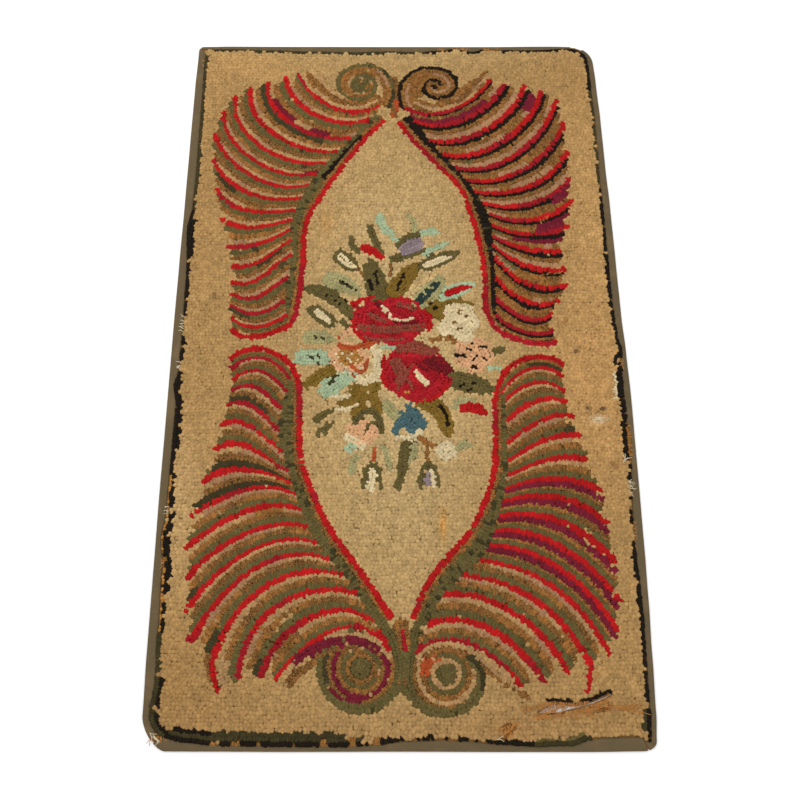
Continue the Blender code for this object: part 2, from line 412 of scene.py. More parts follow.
@dataclass
class Bed:
    """Every loop of the rug, with a quick way to ask what stands near a place."""

    cell: float = 12.0
    loops: list[Loop] = field(default_factory=list)
    cells: dict = field(default_factory=dict)
    bare: list[Callable[[float, float], bool]] = field(default_factory=list)
    dice: random.Random = field(default_factory=lambda: random.Random(SEED))

    def crowded(self, x: float, y: float, radius: float, share: float) -> bool:
        """Whether a loop there would run into one that stands already.

        Args:
            x: place on the rug.
            y: place on the rug.
            radius: the new loop's radius.
            share: part of both radii that has to stay free.

        Returns:
            True where there is no room.
        """
        column, row = int(x // self.cell), int(y // self.cell)
        for i in (column - 1, column, column + 1):
            for j in (row - 1, row, row + 1):
                for other in self.cells.get((i, j), ()):
                    if math.hypot(other.x - x, other.y - y) < share * (radius + other.radius):
                        return True
        return False

    def stand(self, loop: Loop, share: float = 0.78) -> bool:
        """Put a loop in, where there is room and the rug isn't worn bare.

        Args:
            loop: the loop.
            share: as for crowded().

        Returns:
            Whether it was put in.
        """
        if any(test(loop.x, loop.y) for test in self.bare):
            return False
        if self.crowded(loop.x, loop.y, loop.radius, share):
            return False
        self.loops.append(loop)
        self.cells.setdefault((int(loop.x // self.cell), int(loop.y // self.cell)), []).append(loop)
        return True

    def drawn(self, dye: Dye, blend: Sequence[tuple[Dye, float]]) -> Dye:
        """The wool of the next strip: the row's own, or one of those hooked in with it.

        Args:
            dye: the row's own wool.
            blend: the others, and the share of each.

        Returns:
            The wool.
        """
        draw = self.dice.random()
        for other, part in blend:
            if draw < part:
                return other
            draw -= part
        return dye

    def row(self, path: Sequence[Point], dye: Dye, group: str, long: float = 6.6,
            wide: float = 9.0, share: float = 0.5, gaps: float = 0.0, shade: float = 1.0,
            tall: float = 1.0, blend: Sequence[tuple[Dye, float]] = ()) -> None:
        """A row of loops on a path.

        Args:
            path: the points it follows.
            dye: its wool.
            group: name of the piece its loops belong to.
            long: size of a loop along the row.
            wide: size across it.
            share: as for crowded().
            gaps: share of the loops that are missing.
            shade: how light its wool is.
            tall: how high its loops stand.
            blend: other wools hooked into the row, and the share of each.
        """
        strip, wool = shade * self.dice.uniform(0.93, 1.07), self.drawn(dye, blend)
        for x, y, turn, _ in walk_along(path, long * 0.9, long * 0.4):
            if self.dice.random() < 0.15:
                strip, wool = shade * self.dice.uniform(0.9, 1.08), self.drawn(dye, blend)
            if self.dice.random() < gaps:
                continue
            self.stand(Loop(x + self.dice.uniform(-0.9, 0.9), y + self.dice.uniform(-0.9, 0.9),
                            turn + self.dice.uniform(-TWIST, TWIST),
                            long * self.dice.uniform(0.9, 1.15),
                            wide * self.dice.uniform(0.86, 1.14), wool, group,
                            strip * self.dice.uniform(0.92, 1.08), tall), share)


# --- The ornament: four plumes, each with a volute ---


@dataclass(frozen=True)
class RowKind:
    """One row of a feather: its place in the group of rows, its wool, its width and its reach."""

    offset: float
    dye: Dye
    wide: float
    reach: float
    blend: tuple = ()


OLIVE_ROWS = (
    RowKind(0.0, D.SCARLET, 11.5, 1.0, ((D.CRIMSON, 0.15),)),
    RowKind(0.26, D.OLIVE, 11.5, 0.97, ((D.DARK_OLIVE, 0.12),)),
    RowKind(0.53, D.BROWN, 11.5, 0.94, ((D.TWEED, 0.45),)),
    RowKind(0.78, D.TAN, 8.0, 0.87, ((D.PINKISH, 0.35), (D.TWEED, 0.1))),
)
BLACK_ROWS = (
    RowKind(0.0, D.SCARLET, 13.0, 1.0, ((D.CRIMSON, 0.4),)),
    RowKind(0.25, D.BLACK, 6.5, 0.97),
    RowKind(0.46, D.BROWN, 10.0, 0.95, ((D.TWEED, 0.4), (D.OLIVE, 0.08))),
    RowKind(0.73, D.PINKISH, 10.5, 0.92, ((D.TWEED, 0.3), (D.BROWN, 0.15))),
)
PLUM_ROWS = (
    RowKind(0.0, D.SCARLET, 11.0, 1.0),
    RowKind(0.27, D.OLIVE, 10.0, 0.95),
    RowKind(0.45, D.TWEED, 6.0, 0.95, ((D.BROWN, 0.4),)),
    RowKind(0.70, D.PLUM, 13.0, 0.99),
)


@dataclass(frozen=True)
class Volute:
    """The scroll at the head of a plume: arms that wind in to a filled eye."""

    centre: Point
    arm: tuple[tuple[float, float], ...]
    arm_dye: Dye
    arm_wide: float
    rings: tuple[tuple[float, Dye, float], ...]
    eye: float
    mirrored: bool = False
    fill: tuple[Dye, ...] = (Dye.TAN, Dye.BROWN)
    lining: tuple[tuple[float, Dye], ...] = ()

    def rim(self, angle: float) -> float:
        """Distance of the arm's first turn from the centre, at an angle from 0 to 360.

        Args:
            angle: the angle in degrees.

        Returns:
            The distance in millimetres.
        """
        start, rising = self.arm[0][0], self.arm[1][0] > self.arm[0][0]
        if rising:
            angle += 360.0 if angle < start else 0.0
            return RIM.read(self.arm, angle)
        angle -= 360.0 if angle > start else 0.0
        return RIM.read(tuple(reversed(self.arm)), angle)

    def spot(self, angle: float, radius: float) -> Point:
        """Place at an angle in degrees and a distance from the centre."""
        side = -1.0 if self.mirrored else 1.0
        turn = math.radians(angle)
        return (self.centre[0] + side * radius * math.cos(turn),
                self.centre[1] + radius * math.sin(turn))

    def hook(self, bed: Bed, group: str) -> None:
        """Hook the arm, the eye and the rings between.

        Args:
            bed: where the loops go.
            group: name of the piece they belong to.
        """
        path = []
        for (angle_a, radius_a), (angle_b, radius_b) in zip(self.arm, self.arm[1:]):
            for i in range(24):
                t = i / 24
                path.append(self.spot(angle_a + (angle_b - angle_a) * t,
                                      radius_a + (radius_b - radius_a) * t))
        rows = max(1, round(self.arm_wide / 10.0))
        for k in range(rows):
            shift = (k - (rows - 1) / 2) * self.arm_wide / rows
            bed.row(beside(path, shift), self.arm_dye, group, 6.6, self.arm_wide / rows,
                    blend=((Dye.DARK_OLIVE, 0.15),) if self.arm_dye is Dye.OLIVE else ())
        radius = self.eye
        while radius > 0.0:
            circle = [self.spot(a, radius - 4.0) for a in range(0, 361, 12)]
            bed.row(circle, self.arm_dye, group, LONG, WIDE)
            radius -= WIDE
        middle = len(path) // 2
        near = math.dist(beside(path, 5.0)[middle], self.centre) < math.dist(path[middle], self.centre)
        for inwards, dye in self.lining:
            bed.row(beside(path, inwards if near else -inwards), dye, group, LONG, WIDE,
                    blend=((Dye.TWEED, 0.3),))
        for radius, dye, wide in self.rings:
            self.hook_ring(bed, group, radius, dye, wide)
        radius, turn = max(reach for _, reach in self.arm), 0
        while radius > self.eye:
            self.hook_ring(bed, group, radius, self.fill[turn % len(self.fill)], WIDE)
            radius, turn = radius - 8.0, turn + 1

    def hook_ring(self, bed: Bed, group: str, radius: float, dye: Dye, wide: float) -> None:
        """Hook one ring, as far as it lies inside the arm.

        Args:
            bed: where the loops go.
            group: name of the piece they belong to.
            radius: the ring's radius.
            dye: its wool.
            wide: size of its loops across the ring.
        """
        blend = ((Dye.TWEED, 0.4),) if dye is Dye.BROWN else ()
        run: list[Point] = []
        for angle in range(0, 361, 6):
            if radius < self.rim(angle) - 3.0:
                run.append(self.spot(angle, radius))
            elif len(run) > 1:
                bed.row(run, dye, group, LONG, wide, blend=blend)
                run = []
        if len(run) > 1:
            bed.row(run, dye, group, LONG, wide, blend=blend)


@dataclass(frozen=True)
class Plume:
    """A curling plume of feathers, which grow from a spine and are laid out from key ribs."""

    name: str
    keys: tuple[tuple[Point, Point, Point, Point], ...]
    outline: tuple[Point, ...]
    spine_dye: Dye
    spine_blend: tuple
    rows: tuple[RowKind, ...]
    volute: Volute
    tail: tuple[tuple[Dye, tuple[Point, ...]], ...] = ()
    plum_from: float = 99.0
    plum_to: float = 99.0
    patches: tuple[tuple[float, float, float, float, Dye], ...] = ()
    key_step: float = 2.0
    full_gap: float = 38.0
    least_rib: float = 9.2
    least_row: float = 6.0
    outline_wide: float = 12.5
    line_wide: float = 6.5
    line_shift: float = 9.0
    spine_shift: float = 15.5
    spine_pitch: float = 9.5

    def rib(self, place: float) -> list[Point]:
        """The rib at a place, where 1 is the first, next to the volute.

        Args:
            place: number of the rib, with a fraction for the rows between two ribs.

        Returns:
            Its path from the spine to the tip.
        """
        along = (place - 1.0) / self.key_step
        most = len(self.keys) - 1
        index = min(most - 1, max(0, int(math.floor(along))))
        four = [self.keys[min(most, max(0, index + k))] for k in (-1, 0, 1, 2)]
        points = [between(column, along - index) for column in zip(*four)]
        path = []
        for i in range(RIB_STEPS + 1):
            u = 3 * i / RIB_STEPS
            weights = [math.prod((u - m) / (k - m) for m in range(4) if m != k) for k in range(4)]
            path.append(tuple(sum(w * p[axis] for w, p in zip(weights, points)) for axis in (0, 1)))
        return path

    def patched(self, place: float, share: float, dye: Dye) -> Dye:
        """The wool at a place along a row, where another was hooked in."""
        for low, high, start, end, other in self.patches:
            if low <= place <= high and start <= share <= end:
                return other
        return dye

    def hook_row(self, bed: Bed, place: float, kind: RowKind) -> None:
        """Hook one row of a feather, as wide as the rows beside it leave room for.

        Args:
            bed: where the loops go.
            place: number of the rib with its fraction.
            kind: the row's wool, width and reach.
        """
        path, near = self.rib(place), self.rib(place + PLACE_STEP)
        strip, drawn = bed.dice.uniform(0.94, 1.06), bed.drawn(kind.dye, kind.blend)
        reach = kind.reach * bed.dice.uniform(0.985, 1.0)
        least = self.least_row if kind.offset else self.least_rib
        for x, y, turn, share in walk_along(path, 6.0, 3.0):
            if share > reach:
                break
            index = min(RIB_STEPS, int(share * RIB_STEPS))
            gap = math.dist(path[index], near[index]) / PLACE_STEP
            wide = min(kind.wide * 1.12, max(least, kind.wide * gap / self.full_gap))
            if bed.dice.random() < 0.1:
                strip, drawn = bed.dice.uniform(0.9, 1.08), bed.drawn(kind.dye, kind.blend)
            wool = self.patched(place, share, drawn)
            tip = min(1.0, (reach - share) * 14.0 + 0.62)
            bed.stand(Loop(x + bed.dice.uniform(-1.0, 1.0), y + bed.dice.uniform(-1.0, 1.0),
                           turn + bed.dice.uniform(-TWIST, TWIST), 6.8 * bed.dice.uniform(0.9, 1.15),
                           wide * tip * bed.dice.uniform(0.86, 1.14), wool, self.name,
                           strip * bed.dice.uniform(0.92, 1.08)), 0.5)

    def hook_spine(self, bed: Bed) -> None:
        """Hook the red outline, the thin line beside it and the olive spine up to the ribs.

        Args:
            bed: where the loops go.
        """
        outline = through(self.outline)
        bed.row(outline, Dye.SCARLET, self.name, 6.8, self.outline_wide,
                blend=((Dye.CRIMSON, 0.2),))
        last = 1.0 + self.key_step * (len(self.keys) - 1)
        roots = through([self.rib(1.0 + (last - 1.0) * i / 12)[0] for i in range(13)])
        side = 1.0 if self.outline[0][0] < 0 else -1.0
        if self.outline[0][1] < 0:
            side = -side
        inner = beside(outline, -side * self.line_shift)
        bed.row(inner, Dye.TWEED, self.name, 6.2, self.line_wide, blend=((Dye.BROWN, 0.5),))
        edge = beside(outline, -side * self.spine_shift)
        tree = kdtree.KDTree(len(roots))
        for i, (x, y) in enumerate(roots):
            tree.insert((x, y, 0.0), i)
        tree.balance()
        for x, y, turn, share in walk_along(edge, 6.2, 4.0):
            to, _, distance = tree.find((x, y, 0.0))
            count = max(1, round(distance / self.spine_pitch))
            for k in range(count):
                t = (k + 0.35) / count
                wool = bed.drawn(self.spine_dye, self.spine_blend)
                bed.stand(Loop(x + (to.x - x) * t + bed.dice.uniform(-1.0, 1.0),
                               y + (to.y - y) * t + bed.dice.uniform(-1.0, 1.0),
                               turn + bed.dice.uniform(-TWIST, TWIST), 6.8, 9.6, wool, self.name,
                               bed.dice.uniform(0.9, 1.08)), 0.52)

    def hook(self, bed: Bed) -> None:
        """Hook the plume: its ribs first, then the rows between them.

        Args:
            bed: where the loops go.
        """
        last = int(1.0 + self.key_step * (len(self.keys) - 1))
        self.volute.hook(bed, self.name)
        for order in range(4):
            for rib in range(1, last + 1):
                rows = PLUM_ROWS if self.plum_from <= rib < self.plum_to else self.rows
                kind = rows[order]
                if rib + kind.offset <= last:
                    self.hook_row(bed, rib + kind.offset, kind)
            if order == 0:
                self.hook_spine(bed)
        for dye, points in self.tail:
            bed.row(through(points), dye, self.name, LONG, WIDE,
                    blend=((Dye.TWEED, 0.4),) if dye is Dye.BROWN else ())


PLUMES = (
    Plume(
        "pile_plume_top_left",
        (
            ((-28, 606), (-90, 580), (-165, 606), (-224, 686)),
            ((-100, 513), (-185, 522), (-265, 580), (-290, 668)),
            ((-155, 448), (-250, 460), (-335, 525), (-362, 630)),
            ((-192, 392), (-280, 395), (-360, 450), (-405, 525)),
            ((-218, 328), (-285, 323), (-345, 335), (-395, 385)),
            ((-228, 282), (-265, 258), (-310, 242), (-362, 240)),
            ((-222, 220), (-258, 191), (-298, 158), (-348, 158)),
            ((-235, 113), (-268, 90), (-305, 83), (-350, 105)),
            ((-218, 60), (-255, 41), (-297, 32), (-341, 49)),
        ),
        ((-25, 560), (-65, 515), (-120, 435), (-165, 360), (-195, 290), (-198, 200), (-207, 100),
         (-218, 58)),
        D.OLIVE, ((D.DARK_OLIVE, 0.2),), OLIVE_ROWS,
        Volute((-80, 656), ((-46, 90), (0, 71), (90, 52), (180, 52), (270, 40), (360, 34),
            (450, 25), (540, 18)), D.OLIVE, 10.5,
            (), 25, lining=((9.5, D.PINKISH), (18, D.TWEED))),
        ((D.BROWN, ((-35, 625), (-90, 603), (-140, 620), (-175, 655), (-203, 692))),
         (D.TAN, ((-40, 612), (-90, 592), (-145, 606), (-185, 645))),
         (D.TAN, ((-90, 613), (-130, 624), (-158, 650), (-172, 680)))),
        patches=((2.6, 2.9, 0.52, 0.8, D.PLUM), (2.6, 2.9, 0.2, 0.36, D.PLUM),
            (5.6, 5.9, 0, 0.1, D.PLUM)),
    ),
    Plume(
        "pile_plume_top_right",
        (
            ((15, 603), (72, 573), (148, 597), (215, 668)),
            ((75, 507), (165, 515), (250, 575), (292, 655)),
            ((130, 437), (225, 445), (312, 515), (363, 620)),
            ((170, 375), (240, 373), (320, 405), (380, 480)),
            ((200, 320), (255, 303), (320, 312), (382, 353)),
            ((205, 265), (247, 243), (300, 229), (357, 229)),
            ((207, 215), (243, 172), (293, 144), (355, 150)),
            ((205, 118), (240, 86), (280, 68), (320, 83)),
            ((200, 56), (238, 28), (287, 16), (330, 19)),
        ),
        ((5, 555), (35, 510), (80, 455), (135, 390), (160, 320), (183, 200), (185, 95), (200, 50)),
        D.BLACK, ((D.DARK_OLIVE, 0.06),), BLACK_ROWS,
        Volute((87, 649), ((-40, 92), (0, 76), (45, 62), (90, 52), (150, 53), (180, 52),
            (240, 34), (300, 26), (360, 22), (450, 20), (540, 14)), D.BLACK, 8,
            (), 8, True, (D.TWEED, D.BROWN),
            ((8.5, D.BROWN), (17, D.PINKISH), (25.5, D.TWEED))),
        ((D.BROWN, ((35, 620), (85, 600), (140, 615), (175, 650), (205, 690))),
         (D.TAN, ((40, 608), (85, 588), (145, 603), (185, 640)))),
        patches=((1.7, 1.8, 0, 0.75, D.PLUM), (3.4, 3.8, 0.78, 1, D.PLUM),
            (8.2, 8.5, 0.7, 1, D.PLUM), (9.4, 9.8, 0.55, 1, D.PLUM),
            (10.4, 10.5, 0.3, 1, D.PLUM)),
    ),
    Plume(
        "pile_plume_bottom_left",
        (
            ((-20, -590), (-85, -548), (-165, -580), (-226, -645)),
            ((-78, -490), (-160, -485), (-245, -530), (-293, -640)),
            ((-130, -428), (-215, -420), (-305, -470), (-382, -578)),
            ((-175, -363), (-245, -362), (-325, -396), (-400, -465)),
            ((-198, -301), (-262, -286), (-330, -304), (-400, -345)),
            ((-215, -255), (-258, -226), (-312, -200), (-362, -213)),
            ((-238, -170), (-270, -136), (-305, -114), (-340, -117)),
            ((-225, -88), (-260, -53), (-295, -44), (-335, -65)),
            ((-210, -48), (-243, -11), (-290, 3), (-341, -18)),
        ),
        ((-15, -533), (-50, -480), (-90, -425), (-133, -365), (-175, -275), (-193, -210),
         (-198, -80), (-212, -40)),
        D.OLIVE, ((D.DARK_OLIVE, 0.25),), OLIVE_ROWS,
        Volute((-70, -623), ((20, 82), (0, 76), (-45, 70), (-90, 70), (-180, 70), (-225, 68),
            (-260, 60), (-300, 48)), D.OLIVE, 20,
            ((50, D.PLUM, 9), (41, D.BROWN, 8.5), (32, D.OLIVE, 9.5),
            (23, D.BROWN, 6.5)), 19),
        ((D.PLUM, ((-60, -572), (-110, -568), (-155, -590), (-190, -612))),
         (D.BROWN, ((-150, -610), (-180, -635), (-203, -657))),
         (D.TAN, ((-60, -562), (-110, -558), (-160, -590), (-205, -630)))),
        patches=((1.6, 1.9, 0.6, 0.8, D.BROWN), (12.98, 13.02, 0, 1, D.CRIMSON),
            (13.98, 14.02, 0, 1, D.CRIMSON), (14.98, 15.02, 0, 0.6, D.CRIMSON),
            (15.98, 16.02, 0, 1, D.CRIMSON)),
    ),
    Plume(
        "pile_plume_bottom_right",
        (
            ((30, -597), (95, -571), (165, -597), (225, -657)),
            ((85, -490), (165, -502), (245, -550), (308, -635)),
            ((155, -427), (235, -448), (315, -500), (385, -600)),
            ((185, -372), (262, -380), (340, -425), (412, -505)),
            ((200, -315), (268, -303), (338, -315), (403, -360)),
            ((215, -263), (262, -241), (315, -228), (380, -232)),
            ((215, -198), (252, -170), (298, -145), (348, -140)),
            ((215, -110), (250, -80), (292, -69), (338, -90)),
            ((200, -90), (218, -52), (268, -16), (338, -31)),
        ),
        ((25, -535), (55, -470), (100, -415), (145, -360), (185, -265), (192, -190), (195, -110),
         (198, -85)),
        D.OLIVE, ((D.DARK_OLIVE, 0.2),), OLIVE_ROWS,
        Volute((85, -633), ((158, 82), (180, 76), (225, 72), (270, 66), (320, 66), (360, 62),
            (400, 46)), D.OLIVE, 18,
            ((33, D.OLIVE, 9.5), (25, D.TAN, 7), (42, D.BROWN, 8.5),
            (51, D.TAN, 8.5)), 18),
        ((D.RUST, ((42, -640), (45, -615), (60, -598))),
         (D.RUST, ((52, -640), (55, -618))),
         (D.BROWN, ((70, -590), (115, -595), (160, -630), (195, -652), (232, -674))),
         (D.TAN, ((60, -583), (110, -583), (160, -612), (205, -645)))),
        plum_from=5, plum_to=10,
    ),
)


# --- The ornament: the bouquet ---


class Form(Enum):
    """How wide a stroke is along its length: even, a leaf with both ends pointed, or a bud."""

    BAND = 0
    LEAF = 1
    BUD = 2

    def share(self, part: float) -> float:
        """Its width's share at a part of its length."""
        if self is Form.BAND:
            return 1.0
        if self is Form.LEAF:
            return max(0.0, math.sin(math.pi * min(1.0, 0.08 + 0.92 * part) ** 0.85)) ** 0.6
        return max(0.0, math.sin(math.pi * (0.12 + 0.80 * part))) ** 0.6


@dataclass(frozen=True)
class Stroke:
    """A leaf, stem, petal edge or bud: rows of one wool side by side on a short path."""

    dye: Dye
    wide: float
    points: tuple[Point, ...]
    form: Form = Form.BAND

    def hook(self, bed: Bed, group: str) -> None:
        """Hook its rows, the middle one first.

        Args:
            bed: where the loops go.
            group: name of the piece they belong to.
        """
        size = 7.2
        path = through(self.points)
        rows = max(1, round(self.wide / size))
        across = self.wide / rows if rows > 1 else min(self.wide, size)
        for k in sorted(range(rows), key=lambda k: abs(k - (rows - 1) / 2)):
            shift = (k - (rows - 1) / 2) * self.wide / rows
            line = []
            for i, (x, y) in enumerate(path):
                px, py = beside(path[max(0, i - 1):i + 2], shift)[min(i, 1)]
                share = self.form.share(i / (len(path) - 1))
                if abs(shift) * (1.0 - share) < 0.55 * size or share > 0.4:
                    line.append((x + (px - x) * share, y + (py - y) * share))
            if len(line) > 1:
                bed.row(line, self.dye, group, 6.2, across, 0.56)


def strokes(dye: Dye, wide: float, *paths: tuple[Point, ...],
            form: Form = Form.BAND) -> list[Stroke]:
    """Several strokes of one wool, width and form."""
    return [Stroke(dye, wide, path, form) for path in paths]


@dataclass(frozen=True)
class Bloom:
    """A flower head: rings of loops in a lobed oval, from the rim to the middle."""

    centre: Point
    radii: Point
    lobes: int
    dyes: tuple[Dye, ...]
    turn: float = 0.0
    lobe: float = 0.08

    def ring(self, share: float) -> list[Point]:
        """The flower's outline at a share of its size.

        Args:
            share: the share.

        Returns:
            The outline's points.
        """
        turn = math.radians(self.turn)
        points = []
        for step in range(73):
            angle = math.radians(step * 5)
            swell = share * (1.0 + self.lobe * math.cos(self.lobes * angle + 0.7))
            x, y = self.radii[0] * swell * math.cos(angle), self.radii[1] * swell * math.sin(angle)
            points.append((self.centre[0] + x * math.cos(turn) - y * math.sin(turn),
                           self.centre[1] + x * math.sin(turn) + y * math.cos(turn)))
        return points

    def hook(self, bed: Bed, group: str) -> None:
        """Hook its rings, the wools taking turns from the rim inwards.

        Args:
            bed: where the loops go.
            group: name of the piece they belong to.
        """
        size = 7.3
        mean = (self.radii[0] + self.radii[1]) / 2
        count = max(1, round(mean / size))
        for k in range(count):
            share = 1.0 - (k + 0.5) / count
            dye = self.dyes[min(len(self.dyes) - 1, int(k * len(self.dyes) / count))]
            bed.row(self.ring(share), dye, group, 6.2, size, 0.56)


L, B = Form.LEAF, Form.BUD

# Rows that are hooked before the feathers, with the piece they belong to
SCROLLS = (
    ("pile_plume_top_left", (
        Stroke(D.BLACK, 8, ((-77, 518), (-112, 475), (-147, 426), (-162, 405))),
    )),
    ("pile_plume_bottom_left", (
        Stroke(D.PLUM, 16, ((-194, -613), (-163, -591), (-127, -577), (-90, -573), (-62, -580),
            (-35, -595))),
        Stroke(D.PLUM, 9, ((-35, -595), (-24, -622), (-28, -648), (-48, -669), (-80, -680), (-111, -671),
            (-125, -656))),
        Stroke(D.BROWN, 8, ((-205, -648), (-153, -608), (-126, -593), (-90, -589), (-62, -597),
            (-44, -617), (-42, -639))),
        Stroke(D.TAN, 8, ((-122, -566), (-81, -563), (-53, -571), (-30, -586), (-17, -608))),
        Stroke(D.OLIVE, 14, ((-64, -502), (-43, -524), (-24, -552), (-9, -582), (-2, -611), (-2, -640))),
    )),
    ("pile_plume_bottom_right", (
        Stroke(D.OLIVE, 12, ((52, -515), (34, -550), (25, -585), (20, -620), (19, -648), (24, -668))),
        Stroke(D.RUST, 16, ((44, -636), (51, -615), (73, -601))),
        Stroke(D.TAN, 9, ((36, -630), (35, -608), (50, -588), (81, -579), (124, -588), (153, -611),
            (182, -638), (212, -660))),
    )),
    ("pile_plume_top_left", (
        Stroke(D.SCARLET, 11, ((-218, 62), (-235, 50), (-255, 41), (-278, 33), (-306, 31), (-327, 36),
            (-341, 49))),
    )),
    ("pile_plume_bottom_left", (
        Stroke(D.SCARLET, 11, ((-341, -19), (-326, -8), (-308, 1), (-284, 4), (-260, -2), (-236, -15),
            (-218, -30), (-207, -51), (-200, -72))),
    )),
    ("pile_plume_top_right", (
        Stroke(D.ROSE, 11, ((193, 65), (213, 42), (238, 29), (266, 19), (292, 15), (322, 18))),
    )),
    ("pile_plume_bottom_right", (
        Stroke(D.SCARLET, 11, ((338, -31), (322, -21), (294, -14), (264, -16), (241, -28), (223, -43),
            (210, -61), (202, -84))),
    )),
)
# Rows that fill room that the feathers left
FILLS = (
    ("pile_plume_top_left", (
        Stroke(D.TWEED, 24, ((-200, 684), (-166, 636), (-125, 610), (-85, 600), (-45, 608),
            (-20, 622)), L),
    )),
    ("pile_plume_bottom_right", (
        Stroke(D.SCARLET, 10, ((345, -623), (344, -643), (339, -666))),
    )),
    ("pile_plume_bottom_left", (
        Stroke(D.CRIMSON, 15, ((-366, -551), (-374, -564), (-387, -577))),
        Stroke(D.SCARLET, 10, ((-338, -609), (-339, -631), (-329, -660))),
        Stroke(D.TAN, 16, ((-316, -603), (-319, -631), (-311, -655))),
        Stroke(D.BROWN, 10, ((-350, -589), (-350, -617), (-342, -643))),
        Stroke(D.OLIVE, 10, ((-302, -610), (-303, -631), (-298, -643))),
    )),
    ("pile_ground_right", (
        # painted shadow: thin rows of black loops along the tear's upper lip and the slit that runs on
        # from it, where the lifted edge shades the hole
        *strokes(D.BLACK, 4, ((262, -678), (274, -677), (286, -678), (298, -680), (312, -682)),
            ((326, -681), (344, -676), (362, -669), (380, -660))),
        Stroke(D.BROWN, 6, ((352, -697), (368, -693), (380, -689))),
    )),
    ("pile_plume_top_right", (
        Stroke(D.BROWN, 10, ((19, 607), (46, 592), (82, 585), (128, 599), (170, 625), (206, 658))),
        Stroke(D.PINKISH, 10, ((26, 618), (55, 601), (87, 596), (128, 612), (166, 637), (199, 664))),
        Stroke(D.TWEED, 26, ((46, 618), (40, 642), (52, 668))),
        Stroke(D.TWEED, 14, ((92, 608), (129, 625), (162, 648), (190, 668))),
    )),
)

